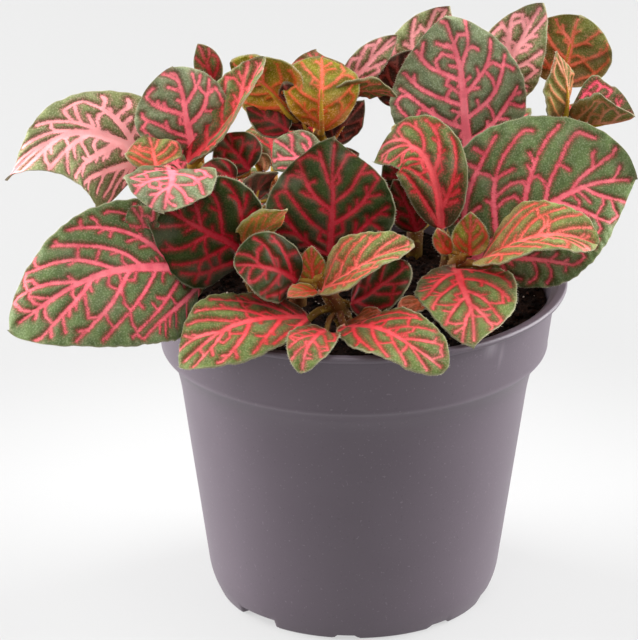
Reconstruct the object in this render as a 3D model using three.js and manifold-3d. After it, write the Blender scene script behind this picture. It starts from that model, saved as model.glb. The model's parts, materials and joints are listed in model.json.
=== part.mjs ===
// A nerve plant in a round nursery pot: the pot, the soil that fills it, and the leafy shoots that stand in
// holes in the soil. Millimetres, +Z up. The plant is laid out around the pot's axis, from the surface that
// the pot stands on, and moved sideways at the end so that the origin is below the middle of the whole.
import * as THREE from "three";
import { mergeVertices } from "three/addons/utils/BufferGeometryUtils.js";
import Module from "manifold-3d";

const wasm = await Module();
wasm.setup();

// The pot, a 9 cm thermoformed one
const LIP_RADIUS = 45;
const POT_HEIGHT = 71;
const LIP_WIDTH = 2.1;
const WALL = 1.0;
const COLLAR_TOP_RADIUS = 42.5;
const COLLAR_BOTTOM_RADIUS = 41;
const COLLAR_BOTTOM = 57.5;
const BODY_TOP_RADIUS = 37;
const BODY_TOP = 49;
const BODY_BOTTOM_RADIUS = 30.8;
const BODY_BOTTOM = 4.5;
const FOOT_RADIUS = 28.7;
const FOOT_WIDTH = 1.8;
const FLOOR_UNDERSIDE = 2.6;
const FLOOR_THICKNESS = 1.2;
const LIP_EDGE = 0.6;
const LIP_DROP = 1.2;
const LIP_DEPTH = 1.7;
const POT_SIDES = 48;
// The shoulder between the body and the collar, outside and inside, as steps out from the body's top radius
// and up from the body's top
const SHOULDER = [[0.7, 2.6], [2.3, 5.6], [3.7, 7.2]];
const SHOULDER_INSIDE = [[0, 1], [1.8, 5.2]];
const DRAIN_SIDES = 12;

// Cuts through the foot ring, three wide ones with two narrow ones between each pair
const NOTCH_GROUPS = 3;
const NOTCHES = [
  { angle: -45, span: 21, height: 2.1 },
  { angle: -3.5, span: 11, height: 0.9 },
  { angle: 38.5, span: 12, height: 0.9 },
];
const DRAIN_HOLES = 6;
const DRAIN_RADIUS = 3.2;
const DRAIN_CIRCLE = 16.5;

// The soil and the holes that the shoots stand in
const SOIL_LEVEL = 66;
const SOIL_RELIEF = 0.7;
const SOIL_SIDES = 32;
const SOIL_RINGS = 4;
const FIT_GAP = 0.3;
const SOIL_GAP = 0.5;
const ROOT_DEPTH = 16;

// Shoots and leaves
const STEM_RADIUS = 1.9;
const STEM_TIP_RADIUS = 1.2;
const STEM_SIDES = 6;
const PETIOLE_RADIUS = 0.8;
const PETIOLE_SIDES = 4;
const BLADE_THICKNESS = 0.7;
const BLADE_MINIMUM_HALF_WIDTH = 0.45;
const WIDEST_AT = 0.42;
const TAPER = 0.9;
const WAVES = 1.6;
// Rows along and columns across a blade, by the width in millimetres that they begin at
const LEAF_GRIDS = [[22, 8, 6], [13, 6, 4], [8, 5, 4], [0, 4, 2]];
const SCRAP_VOLUME = 0.02;
const MERGE_TOLERANCE = 0.12;

const POT_COLOUR = 0x615a62;
const SOIL_COLOUR = 0x1c1512;
const LEAF_COLOUR = 0x4f6b37;

const vector = (point) => new THREE.Vector3(...point);

// A three.js geometry with its positions alone, and shared corners merged
function plain(geometry) {
  const copy = geometry.index ? geometry.toNonIndexed() : geometry.clone();
  for (const name of Object.keys(copy.attributes)) {
    if (name !== "position") copy.deleteAttribute(name);
  }
  return mergeVertices(copy, 1e-4);
}

function solid(geometry) {
  const merged = plain(geometry);
  return new wasm.Manifold(new wasm.Mesh({
    numProp: 3,
    vertProperties: new Float32Array(merged.attributes.position.array),
    triVerts: new Uint32Array(merged.index.array),
  }));
}

function geometryOf(manifold) {
  const mesh = manifold.getMesh();
  const geometry = new THREE.BufferGeometry();
  geometry.setAttribute("position", new THREE.BufferAttribute(new Float32Array(mesh.vertProperties), 3));
  geometry.setIndex(new THREE.BufferAttribute(new Uint32Array(mesh.triVerts), 1));
  return geometry;
}

// A closed solid from rings of equally many points, with a flat fan over the first and the last ring
function loft(rings) {
  const count = rings[0].length;
  const positions = rings.flat().flatMap((p) => [p.x, p.y, p.z]);
  const faces = [];
  for (let ring = 0; ring < rings.length - 1; ring++) {
    for (let i = 0; i < count; i++) {
      const a = ring * count + i;
      const b = ring * count + ((i + 1) % count);
      faces.push(a, b, b + count, a, b + count, a + count);
    }
  }
  const last = (rings.length - 1) * count;
  for (let i = 1; i < count - 1; i++) {
    faces.push(0, i + 1, i);
    faces.push(last, last + i, last + i + 1);
  }
  const geometry = new THREE.BufferGeometry();
  geometry.setAttribute("position", new THREE.Float32BufferAttribute(positions, 3));
  geometry.setIndex(faces);
  return geometry;
}

// A tube along a smooth curve through the points, whose radius runs evenly from one end to the other
function tube(points, startRadius, endRadius, sides, steps) {
  const curve = new THREE.CatmullRomCurve3(points.map(vector), false, "centripetal");
  const frames = curve.computeFrenetFrames(steps, false);
  const rings = [];
  for (let step = 0; step <= steps; step++) {
    const middle = curve.getPointAt(step / steps);
    const radius = THREE.MathUtils.lerp(startRadius, endRadius, step / steps);
    const ring = [];
    for (let side = 0; side < sides; side++) {
      const angle = (2 * Math.PI * side) / sides;
      ring.push(middle.clone()
        .addScaledVector(frames.normals[step], radius * Math.cos(angle))
        .addScaledVector(frames.binormals[step], radius * Math.sin(angle)));
    }
    rings.push(ring);
  }
  return loft(rings);
}

// An upright prism with regular sides
function post(x, y, bottom, top, radius, sides) {
  const rings = [bottom, top].map((z) => {
    const ring = [];
    for (let side = 0; side < sides; side++) {
      const angle = (2 * Math.PI * side) / sides;
      ring.push(new THREE.Vector3(x + radius * Math.cos(angle), y + radius * Math.sin(angle), z));
    }
    return ring;
  });
  return loft(rings);
}

// Half the blade's width at u along the midrib: an ellipse up to the widest place, then a blunt point
function outline(u, widest, taper) {
  if (u < widest) return Math.sqrt(1 - (1 - u / widest) ** 2);
  return (1 - ((u - widest) / (1 - widest)) ** 2) ** taper;
}

// A leaf blade as a closed sheet. Its midrib is the arc through base, mid and tip. The halves rise from the
// midrib by the fold, sink again towards the margins by the droop, and the margins swing by the wave. The
// upper side turns from face at the base to tipFace at the tip, and skew widens one half over the other.
function blade({
  base, mid, tip, width, face, tipFace = face, fold = 10, droop = 0.12, wave = 0.04,
  widest = WIDEST_AT, taper = TAPER, skew = 0,
}) {
  const [, rows, columns] = LEAF_GRIDS.find(([widthFrom]) => width >= widthFrom);
  const [start, through, end, near, far] = [base, mid, tip, face, tipFace].map(vector);
  const pull = through.clone().multiplyScalar(2).addScaledVector(start.clone().add(end), -0.5);
  const midrib = new THREE.QuadraticBezierCurve3(start, pull, end);
  const rise = Math.tan(THREE.MathUtils.degToRad(fold));
  const upper = [];
  const lower = [];
  for (let row = 0; row <= rows; row++) {
    const u = (1 - Math.cos((Math.PI * row) / rows)) / 2;
    const middle = midrib.getPoint(u);
    const along = midrib.getTangent(u);
    const up = near.clone().lerp(far, u);
    const normal = up.addScaledVector(along, -up.dot(along)).normalize();
    const across = along.clone().cross(normal);
    for (let column = 0; column <= columns; column++) {
      const v = (2 * column) / columns - 1;
      const share = 1 + skew * Math.sign(v);
      const half = Math.max((width / 2) * share * outline(u, widest, taper), BLADE_MINIMUM_HALF_WIDTH);
      const lift = half * Math.abs(v) * (rise - droop * Math.abs(v))
        + width * wave * v * v * Math.sin(2 * Math.PI * (WAVES * u + 0.25 * Math.sign(v)));
      const point = middle.clone().addScaledVector(across, half * v).addScaledVector(normal, lift);
      upper.push(point);
      lower.push(point.clone().addScaledVector(normal, -BLADE_THICKNESS));
    }
  }
  const count = columns + 1;
  const total = upper.length;
  const faces = [];
  for (let row = 0; row < rows; row++) {
    for (let column = 0; column < columns; column++) {
      const a = row * count + column;
      const b = a + count;
      faces.push(a, b + 1, b, a, a + 1, b + 1);
      faces.push(total + a, total + b, total + b + 1, total + a, total + b + 1, total + a + 1);
    }
  }
  const rim = [];
  for (let column = 0; column < columns; column++) rim.push(column);
  for (let row = 0; row < rows; row++) rim.push(row * count + columns);
  for (let column = columns; column > 0; column--) rim.push(rows * count + column);
  for (let row = rows; row > 0; row--) rim.push(row * count);
  rim.forEach((a, i) => {
    const b = rim[(i + 1) % rim.length];
    faces.push(a, total + a, total + b, a, total + b, b);
  });
  const geometry = new THREE.BufferGeometry();
  const positions = [...upper, ...lower].flatMap((p) => [p.x, p.y, p.z]);
  geometry.setAttribute("position", new THREE.Float32BufferAttribute(positions, 3));
  geometry.setIndex(faces);
  return geometry;
}

// The leaf's stalk: from the middle of the shoot's stem at `at` along it, out to the blade and a little way
// along the underside of its midrib
function petiole(stem, { at, base, mid, face }) {
  const curve = new THREE.CatmullRomCurve3(stem.map(vector), false, "centripetal");
  const origin = curve.getPointAt(at);
  const start = vector(base);
  const along = vector(mid).sub(start);
  const below = vector(face).projectOnPlane(along.clone().normalize()).setLength(-PETIOLE_RADIUS);
  const foot = start.clone().add(below);
  const under = foot.clone().addScaledVector(along, 0.25).addScaledVector(below, -0.3);
  const bend = origin.clone().lerp(foot, 0.5).addScaledVector(curve.getTangentAt(at), 0.1 * origin.distanceTo(foot));
  return tube([origin.toArray(), bend.toArray(), foot.toArray(), under.toArray()],
    PETIOLE_RADIUS * 1.2, PETIOLE_RADIUS * 0.6, PETIOLE_SIDES, 3);
}

// One leafy shoot: a post in the soil, the stem above it, and every leaf on its stalk, as one body
function shoot({ stem, leaves }) {
  const [x, y] = stem[0];
  const root = post(x, y, SOIL_LEVEL - ROOT_DEPTH + FIT_GAP, stem[0][2] + 0.5, STEM_RADIUS, STEM_SIDES);
  const pieces = [solid(root), solid(tube(stem, STEM_RADIUS, STEM_TIP_RADIUS, STEM_SIDES, 5))];
  for (const leaf of leaves) {
    pieces.push(solid(blade(leaf)).simplify(MERGE_TOLERANCE));
    pieces.push(solid(petiole(stem, leaf)));
  }
  return outerBody(wasm.Manifold.union(pieces)).simplify(MERGE_TOLERANCE);
}

// The body itself, with any pocket that its joined pieces close between them filled. A piece that joins
// nothing is a mistake.
function outerBody(joined) {
  const bodies = joined.decompose().filter((body) => body.volume() > SCRAP_VOLUME);
  if (bodies.length !== 1) throw new Error(`${bodies.length} bodies where there should be one`);
  return bodies[0];
}

const leaf = (at, base, mid, tip, width, face, more = {}) => ({ at, base, mid, tip, width, face, ...more });

// Each stem is a list of points from just above the soil to its tip. Each leaf is: how far up the stem it
// grows, the base, middle and tip of its midrib, the blade's width, and the way that its upper side faces.
const SHOOTS = {
  shoot_front: {
    stem: [[-2, -19, 68], [-4, -21, 73], [-8, -21, 79]],
    leaves: [
      leaf(1.0, [-8, -20, 77], [-9, -19, 81], [-9, -18, 85], 6, [0, -10, 3], { fold: 20 }),
      leaf(1.0, [-8, -23, 77], [-11, -26, 78], [-14, -29, 78], 5, [0, -4, 10], { fold: 20 }),
      leaf(0.8, [-12, -23, 79], [-18, -27, 84], [-25, -29, 85], 15, [-1, -8, 7], { taper: 0.65 }),
      leaf(0.8, [-7, -23, 77], [2, -25, 84], [12, -24, 88], 15, [-2, -3, 9], { fold: 28, droop: 0.2 }),
      leaf(0.6, [-5, -14, 81], [-5, -9, 92], [-4, 0, 102], 27, [0, -9, 4], { widest: 0.37 }),
      leaf(0.4, [-10, -25, 72], [-24, -37, 75], [-36, -42, 68], 20, [-2, -5, 9], { taper: 0.65 }),
      leaf(0.3, [-6, -30, 71], [-9, -42, 74], [-11, -50, 70], 10, [0, -4, 9], { taper: 0.6 }),
      leaf(0.3, [-2, -30, 72], [8, -42, 75], [18, -49, 70], 16, [1, -4, 9], { widest: 0.5, taper: 0.65 }),
      leaf(0.5, [-1, -20, 73], [5, -21, 77], [11, -20, 82], 12, [-1, -6, 8], { taper: 0.65 }),
      leaf(0.2, [-1, -24, 71], [2, -28, 73], [6, -31, 74], 7, [0, -5, 9]),
    ],
  },
  shoot_right_front: {
    stem: [[17, -7, 68], [19, -9, 74], [22, -11, 80]],
    leaves: [
      leaf(1.0, [24, -11, 80], [24, -10, 84], [24, -9, 89], 8, [0, -10, 3], { fold: 15 }),
      leaf(1.0, [20, -12, 81], [18, -13, 84], [17, -13, 87], 4, [1, -9, 3], { fold: 20 }),
      leaf(0.8, [18, -6, 84], [14, -2, 100], [4, 2, 96], 16, [2, -9, 3],
        { tipFace: [1, -4, 9], taper: 0.65 }),
      leaf(0.8, [26, -12, 79], [38, -18, 87], [50, -20, 86], 19, [0, -3, 10],
        { fold: 30, droop: 0.3, taper: 0.7 }),
      leaf(0.55, [24, -6, 76], [41, -3, 89], [59, 2, 92], 36, [-1, -9, 4],
        { fold: 6, widest: 0.38, taper: 0.7, skew: -0.1 }),
      leaf(0.55, [21, -13, 78], [23, -27, 77], [24, -43, 73], 21, [0, -4, 9]),
      leaf(0.15, [15, -10, 70], [12, -13, 70], [9, -16, 69], 6, [0, -2, 10]),
    ],
  },
  shoot_left: {
    stem: [[-20, -8, 70], [-24, -10, 80], [-32, -11, 91], [-40, -11, 99]],
    leaves: [
      leaf(1.0, [-41, -9, 99], [-42, -5, 101], [-43, -1, 103], 12, [0, -3, 10]),
      leaf(1.0, [-38, -13, 100], [-38, -23, 101], [-39, -30, 97], 19, [0, -3, 10], { taper: 0.65 }),
      leaf(0.85, [-43, 4, 96], [-59, 2, 102], [-73, -1, 93], 26, [-3, -7, 6],
        { widest: 0.16, taper: 1.3, skew: -0.18 }),
      leaf(0.55, [-22, -19, 83], [-32, -22, 91], [-43, -18, 95], 24, [-1, -9, 4], { widest: 0.36 }),
      leaf(0.3, [-30, -19, 79], [-48, -29, 84], [-71, -32, 72], 32, [-1, -8, 6],
        { fold: 6, widest: 0.36, taper: 0.6, skew: -0.06 }),
      leaf(0.7, [-42, -22, 89], [-44, -22, 92], [-46, -21, 95], 8, [0, -9, 4]),
      leaf(0.55, [-24, -19, 86], [-19, -20, 90], [-14, -20, 94], 9, [-3, 8, 5], { fold: 20 }),
    ],
  },
  shoot_left_back: {
    stem: [[-16, 4, 68], [-24, 4, 80], [-34, 5, 95]],
    leaves: [
      leaf(1.0, [-34, 3, 97], [-35, 4, 106], [-38, 8, 115], 20, [1, -9, 4],
        { widest: 0.5, taper: 0.6, skew: -0.12 }),
      leaf(1.0, [-35, 1, 96], [-26, 3, 106], [-19, 6, 118], 15, [-6, -4, 7], { fold: 35 }),
      leaf(0.9, [-30, 12, 109], [-31, 13, 114], [-33, 14, 118], 6, [0, -9, 4]),
      leaf(0.7, [-22, -3, 96], [-25, 0, 99], [-28, 3, 102], 11, [-1, -7, 7]),
      leaf(0.6, [-25, -6, 95], [-28, -6, 97], [-32, -6, 98], 6, [0, -7, 7]),
      leaf(0.8, [-36, 12, 90], [-45, 22, 93], [-51, 33, 88], 18, [-2, 4, 9]),
      leaf(0.2, [-24, 12, 74], [-40, 20, 78], [-56, 27, 73], 22, [-1, 2, 10]),
    ],
  },
  shoot_centre_left: {
    stem: [[-12, -2, 68], [-13, -1, 80], [-14, -2, 90]],
    leaves: [
      leaf(1.0, [-10, -3, 97], [-13, 0, 99], [-17, 2, 101], 12, [0, -6, 8]),
      leaf(0.9, [-20, -5, 90], [-20, -4, 93], [-16, -4, 96], 7, [-2, 8, 5], { fold: 20 }),
      leaf(0.8, [-7, 2, 91], [-4, 5, 94], [1, 7, 96], 9, [0, -8, 6]),
    ],
  },
  shoot_centre_back: {
    stem: [[-6, 12, 68], [-7, 12, 82], [-8, 13, 98]],
    leaves: [
      leaf(1.0, [-7, 8, 101], [-7, 9, 109], [-7, 16, 114], 16, [0, 9, -2], { widest: 0.6, taper: 0.5 }),
      leaf(1.0, [-7, 18, 104], [-8, 20, 109], [-8, 24, 113], 14, [0, -8, 6]),
      leaf(0.9, [-14, 10, 104], [-19, 11, 110], [-26, 12, 115], 15, [-3, 8, 5]),
      leaf(0.9, [-10, 9, 101], [-12, 10, 105], [-15, 10, 111], 10, [0, 9, 3]),
      leaf(0.9, [-14, 7, 101], [-18, 9, 103], [-23, 11, 105], 8, [0, -7, 7]),
      leaf(0.8, [-5, 11, 107], [2, 12, 109], [9, 12, 107], 8, [0, 7, 6]),
      leaf(0.8, [-5, 9, 98], [-2, 10, 102], [2, 10, 107], 8, [0, 9, 3]),
      leaf(0.8, [-2, 16, 107], [3, 17, 113], [9, 17, 119], 7, [2, -8, 5]),
      leaf(0.8, [-8, 20, 96], [-9, 32, 101], [-10, 44, 98], 16, [0, 3, 10]),
      leaf(0.2, [-5, 22, 75], [-6, 38, 79], [-8, 55, 74], 19, [0, 3, 10]),
    ],
  },
  shoot_right_back: {
    stem: [[20, 12, 68], [22, 12, 80], [24, 13, 92]],
    leaves: [
      leaf(1.0, [24, 12, 95], [23, 16, 107], [19, 20, 122], 29, [0, -9, 4], { taper: 0.7, skew: -0.1 }),
      leaf(0.9, [12, 20, 101], [14, 23, 112], [20, 24, 123], 15, [0, -8, 6]),
      leaf(0.9, [30, 22, 102], [33, 24, 111], [40, 26, 123], 15, [0, -8, 6], { taper: 0.75 }),
      leaf(0.8, [9, 17, 103], [9, 18, 109], [12, 19, 115], 9, [-1, 9, 2]),
      leaf(0.5, [13, 0, 81], [11, 1, 87], [8, 2, 92], 9, [0, -9, 4]),
      leaf(0.6, [14, 4, 87], [10, 4, 92], [6, 4, 96], 10, [0, -9, 4]),
      leaf(0.8, [25, 19, 92], [30, 30, 96], [33, 43, 91], 17, [0, 3, 10]),
      leaf(0.3, [26, 19, 75], [36, 30, 79], [46, 43, 73], 22, [0, 2, 10]),
    ],
  },
  shoot_right: {
    stem: [[31, 13, 69], [37, 13, 82], [43, 12, 99]],
    leaves: [
      leaf(1.0, [43, 12, 101], [44, 11, 109], [42, 12, 117], 12, [-7, 4, 3], { fold: 20 }),
      leaf(1.0, [45, 14, 101], [52, 13, 101], [59, 12, 103], 16, [0, 1, 10], { fold: 48, taper: 0.75 }),
      leaf(0.9, [44, 27, 104], [46, 29, 112], [48, 30, 119], 19, [1, 9, 1], { taper: 0.65 }),
      leaf(0.7, [44, 19, 97], [50, 28, 99], [53, 38, 93], 14, [0, 3, 10]),
      leaf(0.3, [38, 15, 84], [47, 17, 88], [57, 20, 85], 15, [2, 1, 9]),
    ],
  },
  shoot_back: {
    stem: [[13, 26, 68], [14, 29, 76], [15, 32, 83]],
    leaves: [
      leaf(1.0, [15, 34, 85], [14, 41, 89], [13, 48, 88], 12, [0, 4, 9]),
      leaf(1.0, [17, 32, 84], [22, 36, 87], [27, 42, 85], 11, [0, 3, 10]),
      leaf(0.5, [16, 34, 78], [20, 45, 81], [23, 56, 76], 19, [0, 3, 10]),
    ],
  },
  shoot_back_left: {
    stem: [[-15, 20, 68], [-16, 23, 76], [-17, 25, 83]],
    leaves: [
      leaf(1.0, [-17, 27, 86], [-18, 34, 90], [-19, 41, 89], 13, [0, 4, 9]),
      leaf(1.0, [-19, 24, 86], [-23, 23, 91], [-28, 21, 94], 11, [0, 3, 10]),
      leaf(0.6, [-20, 26, 77], [-27, 36, 80], [-33, 46, 76], 17, [0, 3, 10]),
    ],
  },
};

function pot() {
  const lip = LIP_RADIUS;
  const top = POT_HEIGHT;
  const footInside = FOOT_RADIUS - FOOT_WIDTH;
  const floor = FLOOR_UNDERSIDE + FLOOR_THICKNESS;
  const profile = [
    [0, FLOOR_UNDERSIDE],
    [footInside - 0.5, FLOOR_UNDERSIDE],
    [footInside, 0],
    [FOOT_RADIUS, 0],
    [FOOT_RADIUS + 1.3, 1.5],
    [BODY_BOTTOM_RADIUS, BODY_BOTTOM],
    [BODY_TOP_RADIUS, BODY_TOP],
    ...SHOULDER.map(([out, up]) => [BODY_TOP_RADIUS + out, BODY_TOP + up]),
    [COLLAR_BOTTOM_RADIUS, COLLAR_BOTTOM],
    [COLLAR_TOP_RADIUS, top - LIP_DEPTH],
    [lip - 0.5, top - LIP_DROP],
    [lip, top - LIP_EDGE],
    [lip - 0.3, top],
    [lip - LIP_WIDTH, top],
    [COLLAR_TOP_RADIUS - WALL, top - 1.4],
    [COLLAR_BOTTOM_RADIUS - WALL, COLLAR_BOTTOM],
    ...SHOULDER_INSIDE.map(([out, up]) => [BODY_TOP_RADIUS - WALL + out, BODY_TOP + up]).reverse(),
    [BODY_BOTTOM_RADIUS - WALL, BODY_BOTTOM + 0.6],
    [FOOT_RADIUS - 1, floor],
    [0, floor],
  ].map(([r, z]) => new THREE.Vector2(r, z));
  const turned = new THREE.LatheGeometry(profile, POT_SIDES);
  turned.rotateX(Math.PI / 2);
  let body = solid(turned);
  for (let group = 0; group < NOTCH_GROUPS; group++) {
    for (const { angle, span, height } of NOTCHES) {
      const wide = 2 * FOOT_RADIUS * Math.sin(THREE.MathUtils.degToRad(span / 2));
      const cutter = new THREE.BoxGeometry(wide, 3 * FOOT_WIDTH, 2 * height);
      cutter.translate(0, -(FOOT_RADIUS - FOOT_WIDTH / 2), 0);
      cutter.rotateZ(THREE.MathUtils.degToRad(angle + (360 / NOTCH_GROUPS) * group));
      body = body.subtract(solid(cutter));
    }
  }
  for (let hole = 0; hole < DRAIN_HOLES; hole++) {
    const turn = (2 * Math.PI * (hole + 0.5)) / DRAIN_HOLES;
    const x = DRAIN_CIRCLE * Math.cos(turn);
    const y = DRAIN_CIRCLE * Math.sin(turn);
    body = body.subtract(solid(post(x, y, 0, 2 * floor, DRAIN_RADIUS, DRAIN_SIDES)));
  }
  return body;
}

// The soil follows the inside of the pot, a gap away, and its top is uneven
function soil() {
  const inset = WALL + SOIL_GAP;
  const edge = THREE.MathUtils.mapLinear(SOIL_LEVEL, COLLAR_BOTTOM, POT_HEIGHT - LIP_DEPTH,
    COLLAR_BOTTOM_RADIUS, COLLAR_TOP_RADIUS) - inset;
  const outside = [
    [FOOT_RADIUS - 2.2, FLOOR_UNDERSIDE + FLOOR_THICKNESS + FIT_GAP],
    [BODY_BOTTOM_RADIUS + 0.1 - inset, BODY_BOTTOM + 1.2],
    [BODY_TOP_RADIUS - inset, BODY_TOP + 1],
    [BODY_TOP_RADIUS + 1.7 - inset, BODY_TOP + 5.4],
    [COLLAR_BOTTOM_RADIUS - inset, COLLAR_BOTTOM + 0.2],
  ];
  const unevenness = (r, angle) => SOIL_RELIEF
    * (Math.sin(0.21 * r * Math.cos(angle) + 1) * Math.cos(0.27 * r * Math.sin(angle)) - 0.3 * Math.sin(r / 4));
  const ringAt = (radius, height) => {
    const ring = [];
    for (let side = 0; side < SOIL_SIDES; side++) {
      const angle = (2 * Math.PI * side) / SOIL_SIDES;
      ring.push(new THREE.Vector3(radius * Math.cos(angle), radius * Math.sin(angle), height(radius, angle)));
    }
    return ring;
  };
  const rings = outside.map(([radius, z]) => ringAt(radius, () => z));
  for (let ring = SOIL_RINGS; ring > 0; ring--) {
    rings.push(ringAt((edge * ring) / SOIL_RINGS, (r, angle) => SOIL_LEVEL + unevenness(r, angle)));
  }
  let body = solid(loft(rings));
  for (const { stem } of Object.values(SHOOTS)) {
    const [x, y] = stem[0];
    const radius = STEM_RADIUS + (FIT_GAP + MERGE_TOLERANCE) / Math.cos(Math.PI / STEM_SIDES);
    const hole = post(x, y, SOIL_LEVEL - ROOT_DEPTH, SOIL_LEVEL + 3, radius, STEM_SIDES);
    body = body.subtract(solid(hole));
  }
  return body;
}

function mesh(name, body, colour, roughness) {
  const material = new THREE.MeshStandardMaterial({ color: colour, roughness, metalness: 0 });
  const part = new THREE.Mesh(geometryOf(body), material);
  part.name = name;
  return part;
}

const plant = new THREE.Group();
plant.name = "potted_nerve_plant";
plant.add(mesh("pot", pot(), POT_COLOUR, 0.55));
plant.add(mesh("soil", soil(), SOIL_COLOUR, 1));
for (const [name, parts] of Object.entries(SHOOTS)) {
  plant.add(mesh(name, shoot(parts), LEAF_COLOUR, 0.7));
}

// The origin goes below the middle of the whole plant, pot included
const middle = new THREE.Box3().setFromObject(plant).getCenter(new THREE.Vector3());
for (const part of plant.children) part.geometry.translate(-middle.x, -middle.y, 0);

export default plant;
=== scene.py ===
import json

import bpy
import numpy as np
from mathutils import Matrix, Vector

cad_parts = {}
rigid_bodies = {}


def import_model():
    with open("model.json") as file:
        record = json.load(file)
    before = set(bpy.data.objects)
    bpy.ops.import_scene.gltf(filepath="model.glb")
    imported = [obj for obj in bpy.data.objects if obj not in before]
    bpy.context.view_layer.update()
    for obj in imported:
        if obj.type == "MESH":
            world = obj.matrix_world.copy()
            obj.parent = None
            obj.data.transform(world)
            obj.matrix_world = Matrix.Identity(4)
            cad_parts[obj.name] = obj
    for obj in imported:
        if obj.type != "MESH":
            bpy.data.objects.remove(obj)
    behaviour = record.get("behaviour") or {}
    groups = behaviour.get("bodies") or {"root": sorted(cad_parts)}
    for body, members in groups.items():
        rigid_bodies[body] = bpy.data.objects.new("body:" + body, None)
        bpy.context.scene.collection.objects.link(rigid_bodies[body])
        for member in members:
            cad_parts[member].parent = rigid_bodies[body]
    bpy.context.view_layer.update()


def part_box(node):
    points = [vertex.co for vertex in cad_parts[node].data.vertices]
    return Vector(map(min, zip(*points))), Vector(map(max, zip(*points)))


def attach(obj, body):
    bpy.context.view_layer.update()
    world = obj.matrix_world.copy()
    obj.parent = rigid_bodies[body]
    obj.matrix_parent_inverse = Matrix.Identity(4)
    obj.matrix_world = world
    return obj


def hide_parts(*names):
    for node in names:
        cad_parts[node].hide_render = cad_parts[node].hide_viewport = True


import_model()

# The pot: a round nursery pot of thin grey plastic, drawn down hot over a mould. Its lip is a narrow flange,
# its collar stands a little proud of the body above a soft shoulder, and it rests on a low ring that is cut
# by notches, so that water can run off. All lengths here and below are millimetres about the pot's axis.
MM = 0.001
pot_low, pot_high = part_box("pot")
POT_AXIS = np.array([(pot_low.x + pot_high.x) / 2, (pot_low.y + pot_high.y) / 2, 0.0])
POT_SIDES = 300
FOOT_INSIDE = 26.4
FLOOR_UNDERSIDE = 2.6
FLOOR_TOP = 3.8
DRAIN_HOLES = 6
DRAIN_RADIUS = 3.2
DRAIN_CIRCLE = 16.5
DRILL_LOW = 1.2
DRILL_HIGH = 5.2
DRILL_SIDES = 40
# Radius, height and how far the corner there is rounded, from the middle of the underside round to the inside
POT_PROFILE = [
    (0, FLOOR_UNDERSIDE, 0), (25.9, FLOOR_UNDERSIDE, 0.3), (26.9, 0.0, 0.2), (28.7, 0.0, 0.6),
    (30.8, 4.5, 2.6), (37.0, 49.0, 3), (38.3, 53.6, 2.5), (41.0, 56.6, 0.35), (41.0, 57.6, 0.25),
    (42.5, 69.2, 0.5), (44.6, 69.7, 0.3), (45.0, 70.4, 0.25), (44.7, 71.0, 0.3), (43.0, 71.0, 0.5),
    (41.5, 69.6, 0.5), (40.0, 57.5, 1.5), (37.8, 54.2, 1.5), (36.0, 50.0, 2), (29.8, 5.1, 1.2),
    (27.7, FLOOR_TOP, 0.3), (0, FLOOR_TOP, 0),
]
# Where the foot ring is cut: angle from straight ahead, how wide in degrees, how high; the group comes again
# every NOTCH_TURN degrees
NOTCHES = [(-45, 21, 2.1), (-3.5, 11, 0.9), (38.5, 12, 0.9)]
NOTCH_TURN = 120
NOTCH_SLOPE = 1.6
# Strokes rubbed pale on the collar: degrees from straight ahead, height, half the size round and up
RUB_STROKES = [(46, 66.5, 0.5, 1.6), (41.5, 68.3, 2.2, 0.5), (31, 60.5, 0.5, 0.4)]
RUB_PALENESS = 0.45
COLLAR_RADIUS = 40.7
COLLAR_EDGE = 56.7
# How strongly a thin painted highlight is laid all round the collar's lower edge, where its corner catches the
# light
COLLAR_EDGE_HIGHLIGHT = 0.08


def rounded(profile, steps=6):
    """Points of a profile whose corners are replaced by quadratic curves: each starts and ends the corner's
    own length away from it, or under half of the way to the next corner, with the corner as its pull."""
    corners = np.array([p[:2] for p in profile], float)
    out = [corners[:1]]
    t = np.linspace(0, 1, steps)[:, None]
    for before, corner, after, (_, _, size) in zip(corners, corners[1:], corners[2:], profile[1:-1]):
        back = before - corner
        on = after - corner
        start = corner + back * min(0.49, size / np.linalg.norm(back))
        end = corner + on * min(0.49, size / np.linalg.norm(on))
        out.append((1 - t) ** 2 * start + 2 * t * (1 - t) * corner + t**2 * end)
    out.append(corners[-1:])
    return np.vstack(out)


def densified(profile, longest):
    """The profile with points added evenly on every stretch that is longer than the given length."""
    out = [profile[:1]]
    for start, end in zip(profile, profile[1:]):
        count = int(np.ceil(np.linalg.norm(end - start) / longest))
        out.append(start + (end - start) * (np.arange(1, count + 1) / count)[:, None])
    return np.vstack(out)


def turned(profile, sides):
    """A solid turned about the Z axis: ring i, side j is (r cos a, r sin a, z), with r and z from point i of
    the profile and a = 2 pi j / sides. The first and the last point lie on the axis and close the ends."""
    angle = 2 * np.pi * np.arange(sides) / sides
    radius, height = profile[1:-1].T
    rings = np.stack([
        radius[:, None] * np.cos(angle), radius[:, None] * np.sin(angle),
        np.broadcast_to(height[:, None], (len(radius), sides)),
    ], axis=-1).reshape(-1, 3)
    points = np.vstack([rings, [0, 0, profile[0, 1]], [0, 0, profile[-1, 1]]])
    row, side = np.divmod(np.arange((len(radius) - 1) * sides), sides)
    a = row * sides + side
    b = row * sides + (side + 1) % sides
    walls = np.stack([a, b, b + sides, a + sides], axis=1)
    around = np.arange(sides)
    beside = (around + 1) % sides
    last = (len(radius) - 1) * sides
    first_pole = np.full(sides, len(rings))
    ends = [
        np.stack([first_pole, beside, around], axis=1),
        np.stack([first_pole + 1, last + around, last + beside], axis=1),
    ]
    return points, [walls, *ends]


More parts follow.
